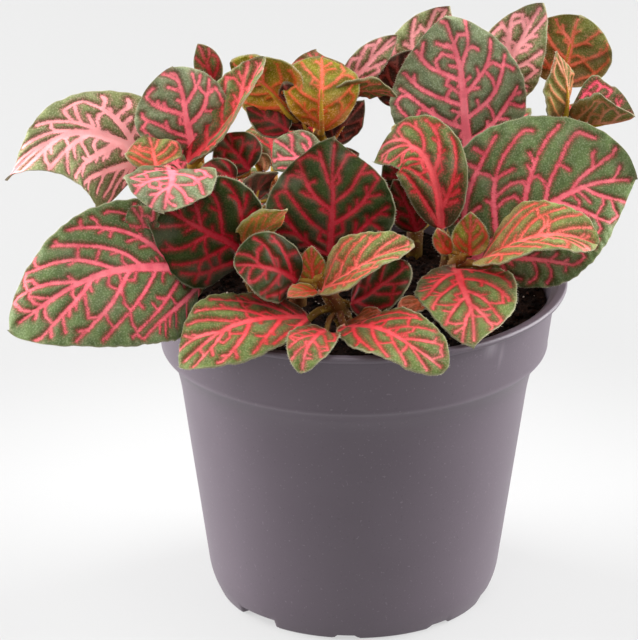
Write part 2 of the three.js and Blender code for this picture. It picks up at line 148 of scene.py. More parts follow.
def piece(name, points, faces, materials, slot, replaced, fields=(), indices=None):
    """A mesh object from points in millimetres about the pot's axis and arrays of face corners. fields are
    (name, values) pairs kept on the points, indices the material of each face. It rides on the part."""
    mesh = bpy.data.meshes.new(name)
    corners = np.concatenate([f.ravel() for f in faces])
    counts = np.concatenate([np.full(len(f), f.shape[1]) for f in faces])
    mesh.vertices.add(len(points))
    mesh.loops.add(len(corners))
    mesh.polygons.add(len(counts))
    mesh.vertices.foreach_set("co", (points * MM + POT_AXIS).astype(np.float32).ravel())
    mesh.loops.foreach_set("vertex_index", corners.astype(np.int32))
    mesh.polygons.foreach_set("loop_start", (np.cumsum(counts) - counts).astype(np.int32))
    if indices is not None:
        mesh.polygons.foreach_set("material_index", indices.astype(np.int32))
    mesh.update(calc_edges=True)
    mesh.shade_smooth()
    for field, values in fields:
        colour = values.ndim == 2
        attribute = mesh.attributes.new(field, "FLOAT_COLOR" if colour else "FLOAT", "POINT")
        attribute.data.foreach_set("color" if colour else "value", values.astype(np.float32).ravel())
    for material in materials:
        mesh.materials.append(material)
    made = bpy.data.objects.new(name, mesh)
    bpy.context.scene.collection.objects.link(made)
    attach(made, "root")
    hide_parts(*replaced)
    return made


def tint(red, green, blue):
    """A colour as seen on a screen, 0 to 255, turned to the linear values that the renderer mixes."""
    share = np.array([red, green, blue]) / 255
    linear = np.where(share < 0.04045, share / 12.92, ((share + 0.055) / 1.055) ** 2.4)
    return (*linear.tolist(), 1.0)


class Shader:
    """A material's node tree, built by short calls. Sockets are set by name, with a value or another node's
    output."""

    def __init__(self, name):
        self.material = bpy.data.materials.new(name)
        self.material.use_nodes = True
        self.tree = self.material.node_tree
        self.body = self.tree.nodes["Principled BSDF"]

    def put(self, socket, value):
        """Sets a socket to a value, or links another node's output to it."""
        if isinstance(value, bpy.types.NodeSocket):
            self.tree.links.new(value, socket)
        else:
            socket.default_value = value

    def node(self, kind, settings=None, **inputs):
        """Adds a node of a kind, with its settings and its input sockets."""
        made = self.tree.nodes.new("ShaderNode" + kind)
        for key, value in (settings or {}).items():
            setattr(made, key, value)
        for key, value in inputs.items():
            names = [s for s in made.inputs if s.name.replace(" ", "_") == key and s.enabled]
            self.put(names[0], value)
        return made

    def finish(self, **inputs):
        """Sets the surface's own sockets and hands over the material."""
        for key, value in inputs.items():
            self.put(self.body.inputs[key.replace("_", " ")], value)
        return self.material

    def place(self):
        """Where a point lies on the piece, in metres."""
        return self.node("TexCoord").outputs["Object"]

    def field(self, name, output="Fac"):
        """A value or a colour that the piece's mesh keeps on its points."""
        return self.node("Attribute", {"attribute_name": name}).outputs[output]

    def noise(self, size, detail=3.0, roughness=0.5):
        """Cloudy noise from 0 to 1 whose largest lumps are about size millimetres across."""
        scale = 1 / (size * MM)
        made = self.node("TexNoise", Vector=self.place(), Scale=scale, Detail=detail, Roughness=roughness)
        return made.outputs["Fac"]

    def ramp(self, value, low, high, to_low=0.0, to_high=1.0):
        """value taken from low..high to to_low..to_high along a smooth step."""
        made = self.node(
            "MapRange", {"interpolation_type": "SMOOTHSTEP"},
            Value=value, From_Min=low, From_Max=high, To_Min=to_low, To_Max=to_high)
        return made.outputs["Result"]

    def mix(self, share, first, second):
        """The first colour where share is 0, the second where it is 1."""
        made = self.node("Mix", {"data_type": "RGBA"})
        self.put(made.inputs["Factor"], share)
        self.put(made.inputs[6], first)
        self.put(made.inputs[7], second)
        return made.outputs[2]

    def maths(self, operation, first, second=0.0):
        """A sum or product and the like, of one or two values."""
        made = self.node("Math", {"operation": operation})
        self.put(made.inputs[0], first)
        self.put(made.inputs[1], second)
        return made.outputs[0]

    def bump(self, height, depth, strength=1.0):
        """Relief of the given depth in millimetres where height runs from 0 to 1."""
        made = self.node("Bump", Strength=strength, Distance=depth * MM, Height=height)
        return made.outputs["Normal"]


def pot_plastic():
    """Matt grey plastic with a mauve tint, faintly mottled and speckled, with a few pale rub marks and a thin
    painted highlight along the collar's lower edge.
    """
    make = Shader("pot_plastic")
    mottle = make.mix(make.noise(14, 4), tint(83, 73, 82), tint(91, 81, 90))
    fine = make.noise(0.6, 2)
    speckled = make.mix(make.ramp(fine, 0.66, 0.74, 0, 0.35), mottle, tint(128, 118, 127))
    speckled = make.mix(make.ramp(fine, 0.34, 0.26, 0, 0.3), speckled, tint(62, 56, 62))
    # Pale where rubbed, and a painted highlight along the collar's lower edge
    worn_and_highlit = make.mix(make.field("rub_and_highlight"), speckled, tint(196, 188, 196))
    return make.finish(
        Base_Color=worn_and_highlit, Roughness=0.48, Specular_IOR_Level=0.42,
        Normal=make.bump(make.noise(0.35, 2), 0.02, 0.6),
    )


def notched(points):
    """Raises the foot ring's underside to the notch's height where a notch is, with sloping sides: the height
    falls to nothing over NOTCH_SLOPE degrees at each side of the notch."""
    radius = np.hypot(points[:, 0], points[:, 1])
    heading = np.degrees(np.arctan2(points[:, 1], points[:, 0])) + 90
    cut = np.zeros(len(points))
    for angle, span, height in NOTCHES:
        off = (heading - angle + NOTCH_TURN / 2) % NOTCH_TURN - NOTCH_TURN / 2
        cut = np.maximum(cut, height * np.clip((span / 2 - np.abs(off)) / NOTCH_SLOPE, 0, 1))
    ring = (radius > FOOT_INSIDE) & (points[:, 2] < FLOOR_UNDERSIDE)
    points[:, 2] = np.where(ring, np.maximum(points[:, 2], cut), points[:, 2])
    return points


def rub_marks_and_highlight(points):
    """How pale the plastic is, 0 to 1: rubbed pale by exp(-d^2) of the distance d to a stroke's middle, in
    shares of its half size, for the short strokes on the collar at the right front, and a faint painted
    highlight all round the collar's lower edge, where its corner catches the light."""
    heading = np.degrees(np.arctan2(points[:, 0], -points[:, 1]))
    outside = np.hypot(points[:, 0], points[:, 1]) > COLLAR_RADIUS
    rub_and_highlight = np.zeros(len(points))
    for at, height, wide, tall in RUB_STROKES:
        far = ((heading - at) / wide) ** 2 + ((points[:, 2] - height) / tall) ** 2
        rub_and_highlight = np.maximum(rub_and_highlight, RUB_PALENESS * np.exp(-far))
    rub_and_highlight = np.maximum(rub_and_highlight, COLLAR_EDGE_HIGHLIGHT * np.exp(-(((points[:, 2] - COLLAR_EDGE) / 0.3) ** 2)))
    return rub_and_highlight * outside


pot_points, pot_faces = turned(densified(rounded(POT_PROFILE), 4.5), POT_SIDES)
pot_points = notched(pot_points)
pot = piece(
    "pot_shell", pot_points, pot_faces, [pot_plastic()], "pot_plastic", ["pot"],
    [("rub_and_highlight", rub_marks_and_highlight(pot_points))])
pot.data.set_sharp_from_angle(angle=np.radians(40))

drain_angle = 2 * np.pi * (np.arange(DRAIN_HOLES) + 0.5) / DRAIN_HOLES
plug_points = []
plug_faces = []
for angle in drain_angle:
    side = [(0, DRILL_LOW), (DRAIN_RADIUS, DRILL_LOW), (DRAIN_RADIUS, DRILL_HIGH), (0, DRILL_HIGH)]
    column, (walls, under, over) = turned(np.array(side, float), DRILL_SIDES)
    column += [DRAIN_CIRCLE * np.cos(angle), DRAIN_CIRCLE * np.sin(angle), 0]
    start = sum(len(p) for p in plug_points)
    plug_points.append(column)
    plug_faces += [walls + start, under + start, over + start]
plugs = piece("drain_plugs", np.vstack(plug_points), plug_faces, [], "pot_plastic", ["pot"])
drill = pot.modifiers.new("drain holes", "BOOLEAN")
drill.object = plugs
drill.operation = "DIFFERENCE"
drill.solver = "EXACT"
bpy.context.view_layer.update()
drilled = bpy.data.meshes.new_from_object(pot.evaluated_get(bpy.context.evaluated_depsgraph_get()))
pot.modifiers.clear()
pot.data = drilled
bpy.data.objects.remove(plugs)

# The soil: black-brown peat that fills the pot to a finger's width below the lip. It is loose on top, with
# crumbs of every size, short peat fibres and a few pale grains of sand, and packed smooth against the wall.
SOIL_LEVEL = 66
SOIL_EDGE = 40.6
SOIL_SIDES = 240
SOIL_RELIEF = 0.7
# Height, size and seed of each size of noise on the soil
SOIL_CRUMBLE = [(0.45, 2.6, 1), (0.3, 1.1, 2), (0.16, 0.5, 3)]
CRUMBS = 2100
PALE_GRAINS = 150
FIBRES = 130


def lattice_noise(x, y, size, seed):
    """Smooth noise from -1 to 1: random values at the corners of squares of the given size, blended across
    each square by the smooth step 3t^2 - 2t^3."""
    values = np.random.default_rng(seed).uniform(-1, 1, (128, 128))
    i, j = np.floor(x / size).astype(int), np.floor(y / size).astype(int)
    s, t = x / size - i, y / size - j
    s, t = s * s * (3 - 2 * s), t * t * (3 - 2 * t)
    low = values[i % 128, j % 128] * (1 - s) + values[(i + 1) % 128, j % 128] * s
    high = values[i % 128, (j + 1) % 128] * (1 - s) + values[(i + 1) % 128, (j + 1) % 128] * s
    return low * (1 - t) + high * t


def soil_height(x, y):
    """The top of the soil: gentle waves of SOIL_RELIEF, with crumbly noise of three sizes laid over them."""
    waves = SOIL_RELIEF * (np.sin(0.21 * x + 1) * np.cos(0.27 * y) - 0.3 * np.sin(np.hypot(x, y) / 4))
    crumbly = sum(rise * lattice_noise(x, y, size, seed) for rise, size, seed in SOIL_CRUMBLE)
    return SOIL_LEVEL - 0.4 + waves + crumbly


def soil_mix(pale):
    """Peat: near black, browner in patches, slightly moist. Without patches it is for the grains."""
    make = Shader("soil_grains" if pale else "soil")
    if pale:
        base = make.mix(make.noise(6, 1), tint(150, 128, 112), tint(206, 190, 178))
        return make.finish(Base_Color=base, Roughness=0.7)
    base = make.mix(make.ramp(make.noise(2.2, 5, 0.7), 0.42, 0.62), tint(10, 6, 5), tint(34, 21, 16))
    base = make.mix(make.ramp(make.noise(0.5, 2), 0.6, 0.7, 0, 0.45), base, tint(96, 60, 46))
    return make.finish(
        Base_Color=base, Roughness=0.9, Specular_IOR_Level=0.05, Normal=make.bump(make.noise(0.4, 3), 0.15))


wall = np.array([(26.0, 4.3), (29.5, 5.9), (35.4, 50.0), (37.3, 54.6), (39.4, 57.8), (SOIL_EDGE, 65.0)])
across = np.linspace(SOIL_EDGE - 0.1, 0.3, 84)
soil_profile = np.vstack([
    [(0, 4.3)], densified(wall, 4), np.stack([across, np.full(len(across), SOIL_LEVEL)], axis=1),
    [(0, SOIL_LEVEL)],
])
soil_points, soil_faces = turned(soil_profile, SOIL_SIDES)
on_top = soil_points[:, 2] > SOIL_LEVEL - 0.5
soil_points[on_top, 2] = soil_height(*soil_points[on_top, :2].T)

ICOSAHEDRON = np.array([
    (0, 1, 1.618), (0, -1, 1.618), (0, 1, -1.618), (0, -1, -1.618), (1, 1.618, 0), (-1, 1.618, 0),
    (1, -1.618, 0), (-1, -1.618, 0), (1.618, 0, 1), (1.618, 0, -1), (-1.618, 0, 1), (-1.618, 0, -1),
]) / 1.902
ICOSAHEDRON_FACES = np.array([
    (0, 1, 8), (0, 8, 4), (0, 4, 5), (0, 5, 10), (0, 10, 1), (1, 10, 7), (1, 7, 6), (1, 6, 8),
    (8, 6, 9), (8, 9, 4), (4, 9, 2), (4, 2, 5), (5, 2, 11), (5, 11, 10), (10, 11, 7),
    (3, 6, 7), (3, 9, 6), (3, 2, 9), (3, 11, 2), (3, 7, 11),
])


def crumbs(count, smallest, largest, stretch, seed):
    """Lumps strewn on the soil: an icosahedron with corners pushed about at random, of a random size between
    the two given, longer by stretch one way, half sunk where it lies. Small ones are commoner: size goes by
    the cube of an even random number."""
    draw = np.random.default_rng(seed)
    radius = (SOIL_EDGE - 1) * np.sqrt(draw.uniform(0, 1, count))
    angle = draw.uniform(0, 2 * np.pi, count)
    x, y = radius * np.cos(angle), radius * np.sin(angle)
    size = smallest + (largest - smallest) * draw.uniform(0, 1, count) ** 3
    shape = ICOSAHEDRON * draw.uniform(0.7, 1.2, (count, 12, 1)) * [stretch, 1, 0.75] * size[:, None, None]
    turn = draw.uniform(0, 2 * np.pi, count)[:, None]
    turned_x = shape[..., 0] * np.cos(turn) - shape[..., 1] * np.sin(turn)
    turned_y = shape[..., 0] * np.sin(turn) + shape[..., 1] * np.cos(turn)
    z = soil_height(x, y)[:, None] + shape[..., 2] + 0.2 * size[:, None]
    lumps = np.stack([turned_x + x[:, None], turned_y + y[:, None], z], axis=-1).reshape(-1, 3)
    faces = (ICOSAHEDRON_FACES + 12 * np.arange(count)[:, None, None]).reshape(-1, 3)
    return lumps, faces


heaps = [
    crumbs(CRUMBS, 0.25, 1.1, 1.2, 11), crumbs(FIBRES, 0.15, 0.32, 7, 12),
    crumbs(PALE_GRAINS, 0.14, 0.42, 1.1, 13),
]
all_soil = [soil_points] + [points for points, _ in heaps]
soil_starts = np.cumsum([0] + [len(points) for points in all_soil])
soil_all_faces = soil_faces + [faces + start for (_, faces), start in zip(heaps, soil_starts[1:])]
grain_faces = sum(len(f) for f in soil_all_faces[:-1])
soil_index = (np.arange(sum(len(f) for f in soil_all_faces)) >= grain_faces).astype(int)
piece(
    "soil_fill", np.vstack(all_soil), soil_all_faces, [soil_mix(False), soil_mix(True)], "soil", ["soil"],
    indices=soil_index)

# The leaf blades: soft, thin, slightly fleshy sheets, green with a net of pink to crimson veins. They grow in
# pairs up each shoot, every blade from the stem on a stalk of its own, and fold a little along the midrib.

# Each shoot, with points as in the solids: its stem from just above the soil to the tip, then for each leaf
# how far up the stem it grows, its midrib's base, middle and tip, its width, the way that its upper side
# faces, its colouring, and what sets it apart from a plain leaf
SHOOTS = {
    "front": ([(-2, -19, 68), (-4, -21, 73), (-8, -21, 79)], [
        (1.0, (-8, -20, 77), (-9, -19, 81), (-9, -18, 85), 6, (0, -10, 3), "bud", {"fold": 20}),
        (1.0, (-8, -23, 77), (-11, -26, 78), (-14, -29, 78), 5, (0, -4, 10), "bud", {"fold": 20}),
        (0.8, (-12, -23, 79), (-18, -27, 84), (-25, -29, 85), 15, (-1, -8, 7), "deep", {"taper": 0.65}),
        (0.8, (-7, -23, 77), (2, -25, 84), (12, -24, 88), 15, (-2, -3, 9), "young",
            {"fold": 28, "droop": 0.2}),
        (0.6, (-5, -14, 81), (-5, -9, 92), (-4, 0, 102), 27, (0, -9, 4), "deep", {"widest": 0.37}),
        (0.4, (-10, -25, 72), (-24, -37, 75), (-36, -42, 68), 20, (-2, -5, 9), "fresh", {"taper": 0.65}),
        (0.3, (-6, -30, 71), (-9, -42, 74), (-11, -50, 70), 10, (0, -4, 9), "fresh", {"taper": 0.6}),
        (0.3, (-2, -30, 72), (8, -42, 75), (18, -49, 70), 16, (1, -4, 9), "fresh",
            {"widest": 0.5, "taper": 0.65}),
        (0.5, (-1, -20, 73), (5, -21, 77), (11, -20, 82), 12, (-1, -6, 8), "deep", {"taper": 0.65}),
        (0.2, (-1, -24, 71), (2, -28, 73), (6, -31, 74), 7, (0, -5, 9), "amber", {}),
    ]),
    "right_front": ([(17, -7, 68), (19, -9, 74), (22, -11, 80)], [
        (1.0, (24, -11, 80), (24, -10, 84), (24, -9, 89), 8, (0, -10, 3), "bud", {"fold": 15}),
        (1.0, (20, -12, 81), (18, -13, 84), (17, -13, 87), 4, (1, -9, 3), "bud", {"fold": 20}),
        (0.8, (18, -6, 84), (14, -2, 100), (4, 2, 96), 16, (2, -9, 3), "fresh",
            {"tip_face": (1, -4, 9), "taper": 0.65}),
        (0.8, (26, -12, 79), (38, -18, 87), (50, -20, 86), 19, (0, -3, 10), "young",
            {"fold": 30, "droop": 0.3, "taper": 0.7}),
        (0.55, (24, -6, 76), (41, -3, 89), (59, 2, 92), 36, (-1, -9, 4), "mature",
            {"fold": 6, "widest": 0.38, "taper": 0.7, "skew": -0.1}),
        (0.55, (21, -13, 78), (23, -27, 77), (24, -43, 73), 21, (0, -4, 9), "fresh", {}),
        (0.15, (15, -10, 70), (12, -13, 70), (9, -16, 69), 6, (0, -2, 10), "amber", {}),
    ]),
    "left": ([(-20, -8, 70), (-24, -10, 80), (-32, -11, 91), (-40, -11, 99)], [
        (1.0, (-41, -9, 99), (-42, -5, 101), (-43, -1, 103), 12, (0, -3, 10), "young", {}),
        (1.0, (-38, -13, 100), (-38, -23, 101), (-39, -30, 97), 19, (0, -3, 10), "silvery", {"taper": 0.65}),
        (0.85, (-43, 4, 96), (-59, 2, 102), (-73, -1, 93), 26, (-3, -7, 6), "rosy",
            {"widest": 0.16, "taper": 1.3, "skew": -0.18}),
        (0.55, (-22, -19, 83), (-32, -22, 91), (-43, -18, 95), 24, (-1, -9, 4), "deep", {"widest": 0.36}),
        (0.3, (-30, -19, 79), (-48, -29, 84), (-71, -32, 72), 32, (-1, -8, 6), "mature",
            {"fold": 6, "widest": 0.36, "taper": 0.6, "skew": -0.06}),
        (0.7, (-42, -22, 89), (-44, -22, 92), (-46, -21, 95), 8, (0, -9, 4), "mature", {}),
        (0.55, (-24, -19, 86), (-19, -20, 90), (-14, -20, 94), 9, (-3, 8, 5), "bud", {"fold": 20}),
    ]),
    "left_back": ([(-16, 4, 68), (-24, 4, 80), (-34, 5, 95)], [
        (1.0, (-34, 3, 97), (-35, 4, 106), (-38, 8, 115), 20, (1, -9, 4), "silvery",
            {"widest": 0.5, "taper": 0.6, "skew": -0.12}),
        (1.0, (-35, 1, 96), (-26, 3, 106), (-19, 6, 118), 15, (-6, -4, 7), "fresh", {"fold": 35}),
        (0.9, (-30, 12, 109), (-31, 13, 114), (-33, 14, 118), 6, (0, -9, 4), "fresh", {}),
        (0.7, (-22, -3, 96), (-25, 0, 99), (-28, 3, 102), 11, (-1, -7, 7), "deep", {}),
        (0.6, (-25, -6, 95), (-28, -6, 97), (-32, -6, 98), 6, (0, -7, 7), "deep", {}),
        (0.8, (-36, 12, 90), (-45, 22, 93), (-51, 33, 88), 18, (-2, 4, 9), "mature", {}),
        (0.2, (-24, 12, 74), (-40, 20, 78), (-56, 27, 73), 22, (-1, 2, 10), "mature", {}),
    ]),
    "centre_left": ([(-12, -2, 68), (-13, -1, 80), (-14, -2, 90)], [
        (1.0, (-10, -3, 97), (-13, 0, 99), (-17, 2, 101), 12, (0, -6, 8), "silvery", {}),
        (0.9, (-20, -5, 90), (-20, -4, 93), (-16, -4, 96), 7, (-2, 8, 5), "deep", {"fold": 20}),
        (0.8, (-7, 2, 91), (-4, 5, 94), (1, 7, 96), 9, (0, -8, 6), "deep", {}),
    ]),
    "centre_back": ([(-6, 12, 68), (-7, 12, 82), (-8, 13, 98)], [
        (1.0, (-7, 8, 101), (-7, 9, 109), (-7, 16, 114), 16, (0, 9, -2), "glow",
            {"widest": 0.6, "taper": 0.5}),
        (1.0, (-7, 18, 104), (-8, 20, 109), (-8, 24, 113), 14, (0, -8, 6), "young", {}),
        (0.9, (-14, 10, 104), (-19, 11, 110), (-26, 12, 115), 15, (-3, 8, 5), "glow", {}),
        (0.9, (-10, 9, 101), (-12, 10, 105), (-15, 10, 111), 10, (0, 9, 3), "dusk", {}),
        (0.9, (-14, 7, 101), (-18, 9, 103), (-23, 11, 105), 8, (0, -7, 7), "deep", {}),
        (0.8, (-5, 11, 107), (2, 12, 109), (9, 12, 107), 8, (0, 7, 6), "olive", {}),
        (0.8, (-5, 9, 98), (-2, 10, 102), (2, 10, 107), 8, (0, 9, 3), "dusk", {}),
        (0.8, (-2, 16, 107), (3, 17, 113), (9, 17, 119), 7, (2, -8, 5), "rosy", {}),
        (0.8, (-8, 20, 96), (-9, 32, 101), (-10, 44, 98), 16, (0, 3, 10), "fresh", {}),
        (0.2, (-5, 22, 75), (-6, 38, 79), (-8, 55, 74), 19, (0, 3, 10), "mature", {}),
    ]),
    "right_back": ([(20, 12, 68), (22, 12, 80), (24, 13, 92)], [
        (1.0, (24, 12, 95), (23, 16, 107), (19, 20, 122), 29, (0, -9, 4), "silvery",
            {"taper": 0.7, "skew": -0.1}),
        (0.9, (12, 20, 101), (14, 23, 112), (20, 24, 123), 15, (0, -8, 6), "rosy", {}),
        (0.9, (30, 22, 102), (33, 24, 111), (40, 26, 123), 15, (0, -8, 6), "rosy", {"taper": 0.75}),
        (0.8, (9, 17, 103), (9, 18, 109), (12, 19, 115), 9, (-1, 9, 2), "dusk", {}),
        (0.5, (13, 0, 81), (11, 1, 87), (8, 2, 92), 9, (0, -9, 4), "deep", {}),
        (0.6, (14, 4, 87), (10, 4, 92), (6, 4, 96), 10, (0, -9, 4), "deep", {}),
        (0.8, (25, 19, 92), (30, 30, 96), (33, 43, 91), 17, (0, 3, 10), "mature", {}),
        (0.3, (26, 19, 75), (36, 30, 79), (46, 43, 73), 22, (0, 2, 10), "mature", {}),
    ]),
    "right": ([(31, 13, 69), (37, 13, 82), (43, 12, 99)], [
        (1.0, (43, 12, 101), (44, 11, 109), (42, 12, 117), 12, (-7, 4, 3), "tan", {"fold": 20}),
        (1.0, (45, 14, 101), (52, 13, 101), (59, 12, 103), 16, (0, 1, 10), "tan",
            {"fold": 48, "taper": 0.75}),
        (0.9, (44, 27, 104), (46, 29, 112), (48, 30, 119), 19, (1, 9, 1), "olive", {"taper": 0.65}),
        (0.7, (44, 19, 97), (50, 28, 99), (53, 38, 93), 14, (0, 3, 10), "fresh", {}),
        (0.3, (38, 15, 84), (47, 17, 88), (57, 20, 85), 15, (2, 1, 9), "mature", {}),
    ]),
    "back": ([(13, 26, 68), (14, 29, 76), (15, 32, 83)], [
        (1.0, (15, 34, 85), (14, 41, 89), (13, 48, 88), 12, (0, 4, 9), "young", {}),
        (1.0, (17, 32, 84), (22, 36, 87), (27, 42, 85), 11, (0, 3, 10), "young", {}),
        (0.5, (16, 34, 78), (20, 45, 81), (23, 56, 76), 19, (0, 3, 10), "mature", {}),
    ]),
    "back_left": ([(-15, 20, 68), (-16, 23, 76), (-17, 25, 83)], [
        (1.0, (-17, 27, 86), (-18, 34, 90), (-19, 41, 89), 13, (0, 4, 9), "fresh", {}),
        (1.0, (-19, 24, 86), (-23, 23, 91), (-28, 21, 94), 11, (0, 3, 10), "young", {}),
        (0.6, (-20, 26, 77), (-27, 36, 80), (-33, 46, 76), 17, (0, 3, 10), "mature", {}),
    ]),
}
# For each colouring: the upper side at the leaf's base and towards its tip, the upper veins, then the same
# for the underside
COLOURINGS = {
    "mature": [(68, 82, 42), (102, 119, 72), (240, 98, 114), (114, 120, 72), (124, 140, 90), (176, 126, 98)],
    # Painted light and sheen: this colouring's lighter, greyer green and its brightest veins stand in for top
    # light and the sheen on it
    "silvery": [(96, 102, 66), (130, 141, 103), (255, 116, 132), (116, 120, 78), (132, 144, 98), (182, 130, 104)],
    # Painted shade: this darkest green with crimson veins stands in for the shade on leaves deep inside the plant
    "deep": [(25, 26, 3), (41, 55, 13), (158, 0, 26), (70, 44, 34), (92, 74, 50), (156, 60, 52)],
    "fresh": [(62, 44, 24), (102, 116, 60), (208, 46, 56), (160, 124, 80), (152, 142, 90), (226, 128, 96)],
    # Partly painted light: part of this colouring's lightness stands in for light falling on the leaf; its pink
    # veins are its own
    "rosy": [(112, 112, 68), (136, 144, 94), (254, 166, 168), (176, 134, 96), (166, 150, 108), (230, 140, 116)],
    "young": [(140, 116, 56), (122, 132, 70), (234, 100, 90), (204, 150, 100), (176, 166, 104), (238, 156, 124)],
    "bud": [(164, 126, 42), (140, 152, 50), (206, 56, 40), (168, 130, 56), (160, 160, 66), (216, 104, 60)],
    "amber": [(116, 68, 30), (146, 90, 40), (176, 84, 48), (150, 96, 50), (150, 106, 60), (190, 110, 70)],
    # Painted light: this underside's bright green and amber with orange veins stand in for light shining through
    # the blade from behind
    "glow": [(58, 76, 26), (84, 106, 48), (236, 70, 104), (216, 128, 20), (138, 134, 28), (214, 84, 40)],
    "olive": [(90, 92, 44), (108, 116, 60), (220, 70, 74), (120, 88, 44), (122, 124, 58), (212, 98, 66)],
    # Painted shade: this dark brown underside stands in for shade on undersides that turn away from the light
    "dusk": [(40, 42, 20), (58, 66, 34), (200, 24, 48), (56, 32, 24), (66, 40, 28), (132, 52, 42)],
    "tan": [(70, 78, 40), (84, 94, 52), (240, 92, 116), (138, 106, 52), (118, 122, 54), (188, 116, 72)],
}
SEEN_FROM_BELOW = {"glow", "olive", "dusk", "tan"}
CLOSE_VEINED = {"young", "bud", "tan"}
# How much wider than plain the veins are, how strongly their colour flecks the skin beside them, and how far
# they pale towards the tip
BOLDNESS = {"silvery": 1.2, "rosy": 1.45, "fresh": 1.1}
FLECKS = {"mature": 0.45, "silvery": 0.35, "deep": 0.45, "dusk": 0.45}
PLAIN_FLECKS = 0.8
PALING = {"deep": 0.1, "dusk": 0.1, "fresh": 0.45}
PLAIN_PALING = 0.3
# A plain blade: where along the midrib it is widest, how it narrows from there, how many waves its margins
# have and how high they are as a share of its width, its fold in degrees, its droop and its thickness
WIDEST_AT = 0.42
TAPER = 0.9
WAVES = 1.6
WAVE = 0.04
FOLD = 10
DROOP = 0.12
BLADE_THICKNESS = 0.5
# The steps of a blade's grid, wider on mature leaves with their middle behind BACK_LEAVES_FROM
GRID_STEP = 0.29
BACK_GRID_STEP = 0.44
BACK_LEAVES_FROM = 26
# How high the margin crinkles and the skin swells, and how far veins are sunk above and stand out below
MARGIN_CRINKLE = 0.16
SWELLING = 0.3
VEIN_SUNK = 0.2
VEIN_RAISED_BELOW = 0.16


def unit(vectors):
    """The vectors' directions: each divided by its own length."""
    return vectors / np.linalg.norm(vectors, axis=-1, keepdims=True)


def outline(u, widest, taper):
    """Half the blade's width at u along the midrib, as a share: sqrt(1 - (1 - u/w)^2) up to the widest place
    w, then (1 - ((u - w)/(1 - w))^2) to the power taper."""
    swelling = np.sqrt(np.clip(1 - (1 - np.minimum(u / widest, 1)) ** 2, 0, 1))
    narrowing = np.clip(1 - np.clip((u - widest) / (1 - widest), 0, 1) ** 2, 0, 1) ** taper
    return np.where(u < widest, swelling, narrowing)


def midrib(base, mid, tip, face, tip_face, u):
    """Places, headings, normals and sideways vectors along the arc through base, mid and tip: the quadratic
    curve (1-u)^2 base + 2u(1-u) pull + u^2 tip. The normal is as near to the face direction as it can be."""
    base, mid, tip, face, tip_face = (np.array(p, float) for p in (base, mid, tip, face, tip_face))
    u = u[:, None]
    pull = 2 * mid - (base + tip) / 2
    place = (1 - u) ** 2 * base + 2 * u * (1 - u) * pull + u**2 * tip
    along = unit(2 * (1 - u) * (pull - base) + 2 * u * (tip - pull))
    up = face * (1 - u) + tip_face * u
    normal = unit(up - along * (up * along).sum(axis=1, keepdims=True))
    return place, along, normal, np.cross(along, normal)


# The veins of a leaf THICK_LEAF wide: the step they grow by, how far apart the spots are that draw them, and
# half a vein's width at its tip. On smaller leaves they are finer and closer.
THICK_LEAF = 34
VEIN_STEP = 0.62
SPOTS_APART = 2.3
CLOSEST_SPOTS = 1.55
HALF_TIP = 0.23
THINNEST = 0.16
GROWTH_TURNS = 40
LINK_STEPS = 4
LINK_CHANCE = 0.75


def distances(points, others):
    """How far each point lies from each of the others: a row for each point."""
    return np.linalg.norm(points[:, None] - others, axis=2)


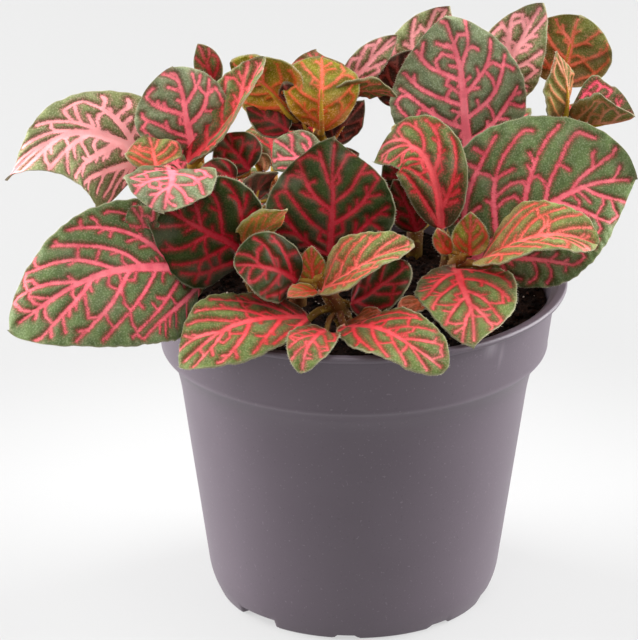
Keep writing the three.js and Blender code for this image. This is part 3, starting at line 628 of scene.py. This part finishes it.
class Venation:
    """A flat blade's veins as a tree of points about a step apart: the place of each, its parent, which is
    the point that it grew from, the way it was heading, and its family, which is the midrib's point that its
    secondary leaves, or -1 on the midrib."""

    def __init__(self, step):
        self.step = step
        self.place, self.heading = np.empty((2, 0, 2))
        self.parent, self.family = np.empty((2, 0), int)

    def add(self, place, parent, heading, family):
        """Adds a row for each new point."""
        self.place = np.vstack([self.place, place])
        self.parent = np.append(self.parent, parent)
        self.heading = np.vstack([self.heading, heading])
        self.family = np.append(self.family, family)

    def lay(self, points, root):
        """Lays a vein along the points: from the midrib's point root on, or the midrib itself, root -1."""
        run = np.concatenate([[0], np.cumsum(np.linalg.norm(np.diff(points, axis=0), axis=1))])
        at = np.arange(0 if root < 0 else self.step, run[-1], self.step)
        path = np.stack([np.interp(at, run, points[:, i]) for i in (0, 1)], axis=1)
        first = len(self.place)
        chain = np.concatenate([[root], np.arange(first, first + len(path) - 1)])
        self.add(path, chain, unit(np.gradient(path, axis=0)), np.full(len(path), root))

    def grow(self, spots, apart, draw):
        """Grows towards the spots, until each is reached. A spot draws the point that is nearest to a place a
        little further back, towards the midrib and the base, so that veins fork forwards. A drawn point grows
        a step along the unit sum of what draws it + 0.45 of its heading + a little chance, unless that runs
        into a vein or turns back. A spot whose point can't grow draws the very nearest from then on, or is
        given up."""
        lead = np.ones(len(spots))
        for turn in range(GROWTH_TURNS):
            if not len(spots):
                break
            gap = distances(spots, self.place).min(axis=1)
            back = np.stack([np.full(len(spots), -0.75), -0.65 * np.sign(spots[:, 1])], axis=1)
            nearest = distances(spots + back * (gap * lead)[:, None], self.place).argmin(axis=1)
            pull = np.zeros_like(self.place)
            np.add.at(pull, nearest, unit(spots - self.place[nearest]))
            some = np.flatnonzero(np.linalg.norm(pull, axis=1) > 0.1)
            way = unit(unit(pull[some]) + 0.45 * self.heading[some] + draw.normal(0, 0.2, (len(some), 2)))
            fresh = self.place[some] + self.step * way
            clear = distances(fresh, self.place).min(axis=1) > 0.45 * self.step
            clear &= (way * self.heading[some]).sum(axis=1) > 0.25
            some, way, fresh = some[clear], way[clear], fresh[clear]
            stuck = ~np.isin(nearest, some)
            keep = ~stuck | (lead != 0)
            lead[stuck] = 0
            self.add(fresh, some, unit(1.6 * self.heading[some] + way), self.family[some])
            keep &= distances(spots, self.place).min(axis=1) > max(0.22 * apart, 1.1 * self.step)
            spots, lead = spots[keep], lead[keep]

    def forks(self):
        """How many points grew from each point."""
        return np.bincount(self.parent[1:], minlength=len(self.place))

    def smooth(self, drawn):
        """Three times, moves each point after the first drawn ones, tips apart, to 0.4 of itself + 0.3 of its
        parent + 0.3 of the mean of the points that grew from it."""
        forks = self.forks()
        inner = (np.arange(len(self.place)) >= drawn) & (forks > 0)
        for turn in range(3):
            ahead = np.zeros_like(self.place)
            np.add.at(ahead, self.parent[1:], self.place[1:])
            ahead = 0.3 * ahead / np.maximum(forks, 1)[:, None]
            mean = 0.4 * self.place + 0.3 * self.place[self.parent] + ahead
            self.place = np.where(inner[:, None], mean, self.place)

    def links(self, tips, draw):
        """Pairs of a tip and the point it runs on to: the nearest of another family that lies ahead of it."""
        away = self.place - self.place[tips][:, None]
        far = np.linalg.norm(away, axis=2)
        behind = (away * self.heading[tips][:, None]).sum(axis=2) < 0.3 * far
        far[behind | (self.family == self.family[tips][:, None])] = np.inf
        linked = far.min(axis=1) < LINK_STEPS * self.step
        linked[linked] = draw.uniform(size=linked.sum()) < LINK_CHANCE
        return np.stack([tips[linked], far[linked].argmin(axis=1)], axis=1)

    def levels(self):
        """Groups of points that are the same number of steps from the midrib's foot, the farthest first."""
        depth = np.zeros(len(self.place), int)
        up = self.parent
        while (up >= 0).any():
            depth += up >= 0
            up = np.where(up >= 0, self.parent[up], -1)
        return [np.flatnonzero(depth == level) for level in range(depth.max(), 0, -1)]


def nerve_lines(length, half_at, width, closer, draw):
    """The veins of a blade laid flat, as short straight pieces: start, end, and half the width at each. A
    midrib runs to the tip, and at each side secondaries leave it by turns and bow towards the margin, the
    first from the very base: x = x0 + run (0.72 t + 0.28 t^2) and y = end (1.3 t - 0.3 t^2). The rest grows
    as it does in a leaf, drawn by thirsty spots that are strewn over the blade. Some tips run on into the
    next vein and close a mesh, and twigs of one or two steps that close none are left out. Then the flow sets
    the widths: at a fork the cubes of the half widths add up."""
    thick = (width / THICK_LEAF) ** 0.5
    tree = Venation(VEIN_STEP * (0.55 + 0.45 * thick))
    t = np.linspace(0, 1, 24)
    sway = 0.018 * length * np.sin(5 * t + draw.uniform(0, 6)) * np.sin(np.pi * t)
    tree.lay(np.stack([0.96 * length * t, sway], axis=1), -1)
    rib = len(tree.place)
    pairs = int(np.clip(round(1.8 + length / 14), 2, 5)) + closer
    for side in (-1, 1):
        for k in range(pairs):
            share = (k + (0.42 if side > 0 else 0) + draw.uniform(-0.08, 0.1) * (k > 0)) / (pairs + 0.2)
            root = int(np.clip(length * (0.01 + 0.8 * share) / tree.step, 0, rib - 1))
            x0, y0 = tree.place[root]
            end_x = x0 + length * (0.44 - 0.18 * share + draw.uniform(-0.04, 0.04))
            end_x = min(end_x, length * (0.9 + 0.04 * share))
            end_y = side * 0.89 * half_at(np.array([end_x]))[0]
            wind = 0.03 * width * np.sin(t * draw.uniform(4, 7) + draw.uniform(0, 6)) * t
            x = x0 + (end_x - x0) * (0.72 * t + 0.28 * t * t) + wind
            tree.lay(np.stack([x, y0 + (end_y - y0) * (1.3 * t - 0.3 * t * t)], axis=1), root)

    drawn = len(tree.place)
    apart = max(CLOSEST_SPOTS, SPOTS_APART * (0.3 + 0.7 * thick))
    spots = np.meshgrid(np.arange(apart / 2, 0.95 * length, apart), np.arange(-width / 2, width / 2, apart))
    spots = np.stack(spots, axis=-1).reshape(-1, 2) + draw.uniform(-0.42, 0.42, (spots[0].size, 2)) * apart
    spots = spots[np.abs(spots[:, 1]) < 0.98 * half_at(spots[:, 0]) - 0.35]
    tree.grow(spots[distances(spots, tree.place).min(axis=1) > 0.5 * apart], apart, draw)
    tree.smooth(drawn)
    tips = np.flatnonzero(tree.forks() == 0)
    tip, met = tree.links(tips, draw).T

    place, parent, levels = tree.place, tree.parent, tree.levels()
    reach = np.zeros(len(place))
    reach[tip] = 9
    for some in levels:
        np.maximum.at(reach, parent[some], reach[some] + 1)
    short = (reach < 2) & (reach[parent] > reach + 1)
    short |= short[parent]
    flow = np.zeros(len(place))
    flow[tips[~short[tips]]] = HALF_TIP**3
    for some in levels:
        np.add.at(flow, parent[some], flow[some])
    half = np.cbrt(flow)
    k = np.flatnonzero(flow[1:] > 0) + 1
    lines = np.vstack([
        np.column_stack([place[parent[k]], place[k], np.minimum(half[parent[k]], 1.4 * half[k]), half[k]]),
        np.column_stack([place[tip], place[met], half[tip], half[tip]]),
    ])
    lines[:, 4:] = np.maximum(lines[:, 4:] * (0.78 + 0.34 * thick), THINNEST)
    return lines


def nerve_gap(points, lines):
    """For each point, how far it is from the edge of the nearest vein, and half that vein's width: with the
    distance d to the nearest place on a straight piece and half the width h there, d - h outside the vein and
    (d^2 - h^2) / h, negative, inside it. The least over all pieces counts."""
    start, end, half = lines[:, 0:2], lines[:, 2:4], lines[:, 4:6]
    run = end - start
    size = np.maximum((run**2).sum(axis=1), 1e-9)
    gaps, halves = np.empty((2, len(points)))
    for some in np.array_split(np.arange(len(points)), max(1, len(points) * len(lines) // 2_000_000)):
        away = points[some, None, :] - start
        share = np.clip((away * run).sum(axis=2) / size, 0, 1)
        near = np.linalg.norm(away - share[..., None] * run, axis=2)
        wide = half[:, 0] + share * (half[:, 1] - half[:, 0])
        gap = np.where(near > wide, near - wide, (near**2 - wide**2) / wide)
        least = gap.argmin(axis=1)
        gaps[some] = gap[np.arange(len(some)), least]
        halves[some] = wide[np.arange(len(some)), least]
    return gaps, halves


def grid_faces(rows, columns, start, turned_over):
    """Squares of a grid with rows + 1 by columns + 1 points."""
    row, column = np.divmod(np.arange(rows * columns), columns)
    a = start + row * (columns + 1) + column
    b = a + columns + 1
    corners = [a, b, b + 1, a + 1] if turned_over else [a, a + 1, b + 1, b]
    return np.stack(corners, axis=1)


def edge_loop(rows, columns):
    """Places of a grid's outer points, once round."""
    wide = columns + 1
    return np.concatenate([
        np.arange(columns), np.arange(rows) * wide + columns,
        rows * wide + np.arange(columns, 0, -1), np.arange(rows, 0, -1) * wide,
    ])


def blade(leaf, seed):
    """A leaf blade as a closed sheet. At u along the midrib and v across, -1 to 1, a point lies half v
    sideways and half |v| (tan fold - droop |v|) + width wave v^2 sin(2 pi (waves u + sign v / 4)) up from the
    midrib. The margins crinkle, veins are sunk into the upper side and stand out below, and between them the
    blade swells. The underside is a grid of half as many points each way, or as many where it is in view.
    Its points keep the colours of skin and vein, with how easily each flushes and flecks in their alpha."""
    _, base, mid, tip, width, face, colouring, more = leaf
    fold = more.get("fold", FOLD)
    droop = more.get("droop", DROOP)
    widest = more.get("widest", WIDEST_AT)
    taper = more.get("taper", TAPER)
    skew = more.get("skew", 0)
    tip_face = more.get("tip_face", face)
    draw = np.random.default_rng(seed)
    length = np.linalg.norm(np.diff([base, mid, tip], axis=0), axis=1).sum()

    def half_at(x):
        """Half the width of the blade laid flat, at x from its base."""
        return width / 2 * outline(np.clip(x / length, 0, 1), widest, taper)

    lines = nerve_lines(length, half_at, width, colouring in CLOSE_VEINED, draw)
    lines[:, 4:] *= BOLDNESS.get(colouring, 1)
    phase = draw.uniform(0, 6, 3)
    rise = np.tan(np.radians(fold))

    def sheet(rows, columns, depth):
        """One side as a grid, depth below the upper skin: points, what they keep, their u, the ways there."""
        s = np.linspace(0, 1, rows + 1)
        u = s - 0.05 * np.sin(2 * np.pi * s)
        place, along, normal, sideways = midrib(base, mid, tip, face, tip_face, u)
        v = np.linspace(-1, 1, columns + 1)[None, :]
        share = 1 + skew * np.sign(v)
        half = np.maximum(width / 2 * share * outline(u, widest, taper)[:, None], 0.06)
        x = np.broadcast_to(u[:, None] * length, (rows + 1, columns + 1))
        flat = np.stack([x.ravel(), (half * v / share).ravel()], axis=1)
        gap, girth = (values.reshape(x.shape) for values in nerve_gap(flat, lines))
        rim = np.minimum(half * (1 - np.abs(v)), 0.6 * (length - x))
        lift = half * np.abs(v) * (rise - droop * np.abs(v))
        lift = lift + width * WAVE * v * v * np.sin(2 * np.pi * (WAVES * u[:, None] + 0.25 * np.sign(v)))
        crinkle = np.sin(x * 1.3 + phase[0] + 2 * np.sign(v)) + 0.6 * np.sin(x * 2.9 + phase[1] * np.sign(v))
        lift = lift + MARGIN_CRINKLE * crinkle * np.abs(v) ** 3
        full = np.clip(half / 3, 0, 1)
        swell = (1 - np.exp(-np.maximum(gap, 0) / 0.8)) * (1 - np.exp(-rim / 0.8))
        sunk = np.exp(-(np.maximum(gap, 0) / 0.45) ** 2)
        relief = full * (SWELLING * swell - VEIN_SUNK * sunk)
        if depth:
            raised = VEIN_RAISED_BELOW * full * np.clip(1 - np.maximum(gap, 0) / 0.35, 0, 1)
            relief = relief - depth - raised * (half > 1)
            relief = np.where(half * (1 - np.abs(v)) < 0.3, -depth * 0.7, relief)
        nudge = 0.04 * width * (0.5 * np.sin(x * 0.9 + phase[2]) + 0.5 * np.sin(x * 2.1 + phase[0])) / 8
        spread = half * v + nudge * np.sign(v) * np.abs(v) ** 4
        risen = normal[:, None] * (lift + relief)[..., None]
        points = place[:, None] + sideways[:, None] * spread[..., None] + risen
        kept = {"nerve_gap": gap.ravel(), "nerve_half": girth.ravel(), "rim_gap": rim.ravel()}
        return points.reshape(-1, 3), kept, np.repeat(u, columns + 1), (sideways, along, normal)

    step = BACK_GRID_STEP if mid[1] > BACK_LEAVES_FROM and colouring == "mature" else GRID_STEP
    rows = 4 * max(3, int(length / step / 4))
    columns = 4 * max(2, int(width / step / 4))
    over, kept, u, (sideways, along, normal) = sheet(rows, columns, 0)
    coarser = 1 if colouring in SEEN_FROM_BELOW else 2
    under, kept_under, u_under, _ = sheet(rows // coarser, columns // coarser, BLADE_THICKNESS)
    ring = edge_loop(rows, columns)
    c = len(over) + edge_loop(rows // coarser, columns // coarser)
    d = np.roll(c, -1)
    a, b = ring[0::coarser], np.roll(ring[0::coarser], -1)
    corners = [(a, c, d), (a, d, b)]
    if coarser == 2:
        m = ring[1::2]
        corners = [(a, c, m), (m, c, d), (m, d, b)]
    seam = np.vstack([np.stack(three, axis=1) for three in corners])
    quads = np.vstack([
        grid_faces(rows, columns, 0, False),
        grid_faces(rows // coarser, columns // coarser, len(over), True)])
    shades = np.array([tint(*shade) for shade in COLOURINGS[colouring]]) * draw.uniform(0.9, 1.1)
    u = np.concatenate([u, u_under])[:, None]
    blend = np.clip(u * 1.8, 0, 1)
    below = (np.arange(len(blend)) >= len(over))[:, None]
    skin = np.where(below, shades[3], shades[0]) * (1 - blend) + np.where(below, shades[4], shades[1]) * blend
    dim = 1 if colouring in ("silvery", "rosy") else 0.8
    nerves = np.where(below, shades[5], shades[2]) * (dim + (1 - dim) * blend)
    paling = np.clip((u - 0.3) / 0.7, 0, 1) * PALING.get(colouring, PLAIN_PALING)
    nerves = nerves * (1 - paling) + np.array(tint(238, 158, 158)) * paling
    nerves[:, 3] = FLECKS.get(colouring, PLAIN_FLECKS)
    skin[:, 3] = np.where(below[:, 0], 0.2, 1)
    fields = {key: np.concatenate([kept[key], kept_under[key]]) for key in kept}
    fields |= {"skin": skin, "nerve": nerves}
    left, right = over.reshape(rows + 1, columns + 1, 3)[:, [0, -1]].transpose(1, 0, 2)
    margins = [(left, -sideways, along, normal), (right, sideways, along, normal)]
    return np.vstack([over, under]), quads, seam, fields, margins


def gathered(parts):
    """Joins (points, list of face arrays) pairs into one list of points and one of faces."""
    points, faces, start = [], [], 0
    for some, arrays in parts:
        points.append(some)
        faces += [array + start for array in arrays]
        start += len(some)
    return np.vstack(points), faces


def leaf_skin():
    """Soft leaf skin: green between pink to crimson veins, mottled, with tiny pale warts set close together and
    faint pale patches of painted sheen. Beside a vein the green is darker, painted shade in the furrow where the
    vein is sunk, and it is flushed red and flecked with the vein's colour, and the vein's edge is feathered by
    noise. A vein is lightest along its middle, a painted highlight, the thinnest veins are deeper and half lost
    in the green, and the blade is paler along its margin, a painted sheen where the hairs catch the light."""
    make = Shader("leaf_skin")
    wander = make.ramp(make.noise(1, 2), 0.3, 0.7, -0.09, 0.07)
    feather = make.ramp(make.noise(0.32, 2, 0.6), 0.3, 0.7, -0.14, 0.12)
    gap = make.maths("ADD", make.field("nerve_gap"), make.maths("ADD", wander, feather))
    girth = make.field("nerve_half")
    in_vein = make.maths("MULTIPLY", make.ramp(gap, 0.24, -0.2), make.ramp(girth, 0.15, 0.42, 0.78, 1))
    green = make.field("skin", "Color")
    darker = make.node("HueSaturation", Value=0.42, Color=green).outputs["Color"]
    lighter = make.node("HueSaturation", Saturation=0.65, Value=1.8, Color=green).outputs["Color"]
    skin = make.mix(make.ramp(make.noise(2.4, 4), 0.35, 0.65, 0, 0.55), green, darker)
    fine = make.noise(0.34, 2, 0.6)
    skin = make.mix(make.ramp(fine, 0.48, 0.68, 0, 0.5), skin, lighter)
    skin = make.mix(make.ramp(fine, 0.5, 0.32, 0, 0.4), skin, darker)
    # Painted shade: the green darkens beside a vein, in the furrow where the vein is sunk
    skin = make.mix(make.ramp(gap, 1.3, 0.15, 0, 0.5), skin, darker)
    flush = make.maths("MULTIPLY", make.ramp(gap, 0.8, 0.08, 0, 0.44), make.field("skin", "Alpha"))
    skin = make.mix(flush, skin, tint(110, 34, 26))
    nerve = make.field("nerve", "Color")
    deeper = make.node("HueSaturation", Saturation=1.15, Value=0.62, Color=nerve).outputs["Color"]
    paler = make.node("HueSaturation", Saturation=0.9, Value=1.26, Color=nerve).outputs["Color"]
    nerve = make.mix(make.ramp(gap, 0.05, -0.22, 0.5, 0), nerve, deeper)
    nerve = make.mix(make.ramp(girth, 0.4, 0.15, 0, 0.38), nerve, deeper)
    # Painted highlight: a vein is lightest along its middle
    nerve = make.mix(make.ramp(gap, -0.08, -0.5, 0, 0.4), nerve, paler)
    nerve = make.mix(make.ramp(fine, 0.5, 0.7, 0, 0.35), nerve, paler)
    nerve = make.mix(make.ramp(make.noise(3, 3), 0.4, 0.65, 0, 0.35), nerve, deeper)
    flecks = make.maths("MULTIPLY", make.ramp(gap, 1.5, 0.1, 0, 0.45), make.ramp(fine, 0.45, 0.62))
    skin = make.mix(make.maths("MULTIPLY", flecks, make.field("nerve", "Alpha")), skin, nerve)
    whole = make.mix(in_vein, skin, nerve)
    # Painted sheen: faint pale patches over the green
    whole = make.mix(make.ramp(make.noise(7, 2), 0.5, 0.75, 0, 0.09), whole, tint(176, 166, 150))
    # Painted sheen: the blade is paler along its margin, where the hairs catch the light
    edge = make.ramp(make.field("rim_gap"), 0.4, 0.05, 0, 0.55)
    whole = make.mix(edge, whole, tint(146, 140, 112))
    return make.finish(
        Base_Color=whole, Roughness=0.5, Specular_IOR_Level=0.08, Sheen_Weight=0.03, Sheen_Roughness=0.4,
        Sheen_Tint=tint(240, 236, 228), Normal=make.bump(fine, 0.07, 0.8))


skin_finish = leaf_skin()
sheets = {}
for number, (shoot, (_, leaves)) in enumerate(SHOOTS.items()):
    sheets[shoot] = [blade(leaf, 1000 * number + k) for k, leaf in enumerate(leaves)]
    points, faces = gathered([(points, [quads, seam]) for points, quads, seam, _, _ in sheets[shoot]])
    kept = [fields for *_, fields, _ in sheets[shoot]]
    joined = [(key, np.concatenate([fields[key] for fields in kept])) for key in kept[0]]
    piece(f"blades_{shoot}", points, faces, [skin_finish], "foliage", [f"shoot_{shoot}"], joined)

# The stems and stalks: fleshy stems that come up out of the soil, amber to olive above and dark brown low down,
# partly where they are old and partly painted shade deep inside the plant. They thicken a little where leaves
# join them, and from there a stalk grows out to each blade.

# Radii of a stem at its foot and tip and of a stalk at its start and end, then rings and sides of each
STEM_RADIUS = 1.9
STEM_TIP_RADIUS = 1.2
STALK_RADIUS = 0.95
STALK_END_RADIUS = 0.2
STEM_RINGS, STEM_SIDES = 48, 18
STALK_RINGS, STALK_SIDES = 30, 12


def smooth_path(points, count):
    """Evenly spaced places on a smooth curve through the points: cubic pieces whose slopes are taken over the
    points at both sides, with the square root of the distances as the curve's own clock."""
    points = np.array(points, float)
    clock = np.concatenate([[0], np.cumsum(np.sqrt(np.linalg.norm(np.diff(points, axis=0), axis=1)))])
    slope = np.gradient(points, clock, axis=0)
    s = np.linspace(0, clock[-1], 40 * len(points))
    k = np.clip(np.searchsorted(clock, s, side="right") - 1, 0, len(points) - 2)
    h = (clock[k + 1] - clock[k])[:, None]
    t = ((s - clock[k])[:, None]) / h
    dense = (
        (1 + 2 * t) * (1 - t) ** 2 * points[k] + t * (1 - t) ** 2 * h * slope[k]
        + t * t * (3 - 2 * t) * points[k + 1] + t * t * (t - 1) * h * slope[k + 1]
    )
    run = np.concatenate([[0], np.cumsum(np.linalg.norm(np.diff(dense, axis=0), axis=1))])
    return np.stack([np.interp(np.linspace(0, run[-1], count), run, dense[:, i]) for i in range(3)], axis=1)


def tube(path, radii, sides):
    """A round tube along a path: ring i lies in the plane across the path there, with radius radii[i]. Both
    ends close in a point."""
    along = unit(np.gradient(path, axis=0))
    plane = np.linalg.svd(path - path.mean(axis=0))[2][-1]
    first = unit(np.cross(plane, along))
    second = np.cross(along, first)
    angle = 2 * np.pi * np.arange(sides) / sides
    spoke = first[:, None, :] * np.cos(angle)[:, None] + second[:, None, :] * np.sin(angle)[:, None]
    rings = (path[:, None, :] + spoke * radii[:, None, None]).reshape(-1, 3)
    tips = np.stack([path[0] - along[0] * radii[0] * 0.5, path[-1] + along[-1] * radii[-1] * 0.5])
    row, side = np.divmod(np.arange((len(path) - 1) * sides), sides)
    a, b = row * sides + side, row * sides + (side + 1) % sides
    around = np.arange(sides)
    beside = (around + 1) % sides
    last = (len(path) - 1) * sides
    foot = np.full(sides, len(rings))
    faces = [
        np.stack([a, b, b + sides, a + sides], axis=1),
        np.stack([foot, beside, around], axis=1), np.stack([foot + 1, last + around, last + beside], axis=1),
    ]
    return np.vstack([rings, tips]), faces, spoke.reshape(-1, 3)


def stem_and_stalks(stem, leaves):
    """The stem from below the soil to the tip, a little thicker where leaves join it, and a stalk for each
    leaf that runs on below the blade as its raised midrib and tapers out there."""
    path = smooth_path(stem, STEM_RINGS)
    foot = np.array([[*stem[0][:2], 60.0], [*stem[0][:2], 65.0]])
    share = np.linspace(0, 1, STEM_RINGS)
    radii = STEM_RADIUS + (STEM_TIP_RADIUS - STEM_RADIUS) * share
    for at in sorted({leaf[0] for leaf in leaves}):
        radii = radii + 0.25 * np.exp(-(((share - at) / 0.05) ** 2))
    path = np.vstack([foot, path])
    radii = np.concatenate([[STEM_RADIUS, STEM_RADIUS], radii])
    tubes = [tube(path, radii, STEM_SIDES)]
    for at, base, mid, tip, width, face, _, more in leaves:
        origin = path[len(foot) + int(round(at * (STEM_RINGS - 1)))]
        heading = unit(np.array(stem[-1], float) - np.array(stem[-2], float))
        tip_face = more.get("tip_face", face)
        place, _, normal, _ = midrib(base, mid, tip, face, tip_face, np.array([0.0, 0.22, 0.42, 0.6]))
        below = place - normal * np.array([[1.2], [1.0], [0.8], [0.6]]) * min(1, 0.4 + width / 20)
        bend = (origin + below[0]) / 2 + heading * 0.1 * np.linalg.norm(below[0] - origin)
        stalk = smooth_path([origin, bend, *below], STALK_RINGS)
        slim = min(1, 0.45 + width / 30)
        stalk_radii = slim * np.linspace(STALK_RADIUS, STALK_END_RADIUS, STALK_RINGS)
        tubes.append(tube(stalk, stalk_radii, STALK_SIDES))
    return tubes


def stem_skin():
    """Fleshy stems: amber and orange brown in patches, olive here and there, and dark brown low down, partly
    where they are old and partly painted shade deep inside the plant."""
    make = Shader("stem_skin")
    base = make.mix(make.ramp(make.noise(5, 3), 0.35, 0.65), tint(168, 136, 38), tint(152, 78, 34))
    height = make.node("SeparateXYZ", Vector=make.place()).outputs["Z"]
    # Darker low down: partly the brown of old stem, partly painted shade inside the plant
    base = make.mix(make.ramp(height, 0.09, 0.072, 0, 0.8), base, tint(58, 30, 18))
    base = make.mix(make.ramp(make.noise(0.8, 3), 0.55, 0.7, 0, 0.3), base, tint(176, 156, 62))
    return make.finish(
        Base_Color=base, Roughness=0.6, Specular_IOR_Level=0.12, Normal=make.bump(make.noise(0.5, 2), 0.08))


stem_finish = stem_skin()
tubes = {}
for shoot, (stem, leaves) in SHOOTS.items():
    tubes[shoot] = stem_and_stalks(stem, leaves)
    points, faces = gathered([(points, faces) for points, faces, _ in tubes[shoot]])
    piece(f"stem_{shoot}", points, faces, [stem_finish], "foliage", [f"shoot_{shoot}"])

# The hairs: short, fine and nearly colourless, they grow out of the skin of the blades' margins, the stems
# and the stalks, and give every leaf a frosted edge.

# How far apart they are on a margin, the shortest and the longest, a hair's radius at its foot, and how many
# there are to each point of a stem's mesh
HAIRS_APART = 0.4
HAIR_LENGTHS = (0.22, 0.52)
HAIR_RADIUS = 0.035
STEM_HAIR_SHARE = 0.25


def bristles(roots, ways, lengths, radius):
    """Fine hairs, each a long three-sided spike with a closed foot."""
    ways = unit(ways)
    helper = np.where(np.abs(ways[:, 2:]) < 0.9, [[0.0, 0.0, 1.0]], [[1.0, 0.0, 0.0]])
    first = unit(np.cross(ways, helper))
    second = np.cross(ways, first)
    corners = [roots + radius * (np.cos(a) * first + np.sin(a) * second) for a in (0, 2.094, 4.189)]
    tips = roots + ways * lengths[:, None]
    points = np.stack([*corners, tips], axis=1).reshape(-1, 3)
    spike = np.array([(0, 1, 3), (1, 2, 3), (2, 0, 3), (0, 2, 1)])
    return points, [(spike + 4 * np.arange(len(roots))[:, None, None]).reshape(-1, 3)]


def fringe(margins, draw):
    """The roots and ways of hairs along a blade's margins, one about every HAIRS_APART: outwards, a little
    forwards and by chance to all sides."""
    roots, ways = [], []
    for line, outward, along, normal in margins:
        run = np.concatenate([[0], np.cumsum(np.linalg.norm(np.diff(line, axis=0), axis=1))])
        at = np.arange(HAIRS_APART, run[-1] - HAIRS_APART / 2, HAIRS_APART)
        at = at + draw.uniform(-0.14, 0.14, len(at))
        line, outward, along, normal = (
            np.stack([np.interp(at, run, values[:, i]) for i in range(3)], axis=1)
            for values in (line, outward, along, normal))
        roots.append(line - outward * 0.04 - normal * draw.uniform(0, 0.3, len(at))[:, None])
        sway = draw.normal(0, 1, (2, len(at), 1))
        ways.append(outward + along * (0.35 + 0.35 * sway[0]) + normal * 0.45 * sway[1])
    return np.vstack(roots), np.vstack(ways)


def fuzz():
    """The hairs: nearly colourless, so they take the light of whatever is behind them."""
    make = Shader("fuzz")
    return make.finish(Base_Color=tint(208, 204, 182), Roughness=0.6, Sheen_Weight=0.1)


fuzz_finish = fuzz()
for number, shoot in enumerate(SHOOTS):
    draw = np.random.default_rng(100 + number)
    roots, ways = map(list, zip(*[fringe(margins, draw) for *_, margins in sheets[shoot]]))
    for points, _, spokes in tubes[shoot]:
        some = draw.integers(0, len(spokes), int(len(spokes) * STEM_HAIR_SHARE))
        above = some[points[some, 2] > SOIL_LEVEL]
        roots.append(points[above] - spokes[above] * 0.05)
        ways.append(spokes[above] + draw.normal(0, 0.4, (len(above), 3)))
    roots, ways = np.vstack(roots), np.vstack(ways)
    spikes = bristles(roots, ways, draw.uniform(*HAIR_LENGTHS, len(roots)), HAIR_RADIUS)
    piece(f"hairs_{shoot}", *spikes, [fuzz_finish], "foliage", [f"shoot_{shoot}"])

# The place it was photographed in: a plain pale floor that runs on behind the pot and glows, more strongly
# close round it, painted light that fills in the pot's shadow, and soft light from a large panel overhead, one at
# each side and a weak one in front. Metres.
FLOOR_HALF = 4.0
floor_corners = [(x * FLOOR_HALF, y * FLOOR_HALF, 0) for x, y in [(-1, -1), (1, -1), (1, 1), (-1, 1)]]
floor_mesh = bpy.data.meshes.new("floor")
floor_mesh.from_pydata(floor_corners, [], [(0, 1, 2, 3)])
floor = bpy.data.objects.new("floor", floor_mesh)
bpy.context.scene.collection.objects.link(floor)
floor_paint = Shader("floor_paint")
far = floor_paint.node("VectorMath", {"operation": "LENGTH"}, Vector=floor_paint.place()).outputs["Value"]
# Painted light: the floor glows, most strongly close round the pot, where it fills in the pot's shadow
floor_mesh.materials.append(floor_paint.finish(
    Base_Color=tint(119, 119, 119), Roughness=0.9, Specular_IOR_Level=0.1,
    Emission_Color=(1, 1, 1, 1), Emission_Strength=floor_paint.ramp(far, 0.045, 0.15, 0.57, 0.365)))


def panel(name, place, size, watts):
    """A light panel at a place, facing the middle of the plant: it is tilted by the angle between straight up
    and the way from the middle to it, and turned to that way's heading."""
    light = bpy.data.lights.new(name, "AREA")
    light.shape = "RECTANGLE"
    light.size, light.size_y = size
    light.energy = watts
    lamp = bpy.data.objects.new(name, light)
    lamp.location = place
    away = np.array(place, float) - MIDDLE
    flat = np.hypot(away[0], away[1])
    lamp.rotation_euler = (np.arctan2(flat, away[2]), 0, np.arctan2(away[0], -away[1]))
    bpy.context.scene.collection.objects.link(lamp)


MIDDLE = np.array([0, 0, 0.07])
panel("overhead", (0.0, -0.05, 1.5), (1.8, 1.8), 24)
panel("left_side", (-1.0, 0.24, 0.4), (0.9, 0.8), 34)
panel("right_side", (1.0, 0.24, 0.4), (0.9, 0.8), 31)
panel("front", (-0.25, -1.3, 0.7), (0.7, 0.7), 3.8)
world = bpy.data.worlds.new("room")
world.use_nodes = True
world.node_tree.nodes["Background"].inputs["Color"].default_value = (1, 1, 1, 1)
world.node_tree.nodes["Background"].inputs["Strength"].default_value = 0.2
bpy.context.scene.world = world
bpy.context.scene.view_settings.view_transform = "Standard"

# The camera: a long lens nearly a metre in front of the pot, looking down on the leaves
CAMERA_PLACE = np.array([-7.5, -940.0, 447.5])
LOOK_DOWN = 22.35
LENS = 269.8
camera_data = bpy.data.cameras.new("camera")
camera_data.sensor_width = 36
camera_data.lens = LENS
camera_data.clip_end = 20
camera = bpy.data.objects.new("camera", camera_data)
camera.location = CAMERA_PLACE * MM + POT_AXIS
camera.rotation_euler = (np.radians(90 - LOOK_DOWN), 0, 0)
bpy.context.scene.collection.objects.link(camera)
bpy.context.scene.camera = camera
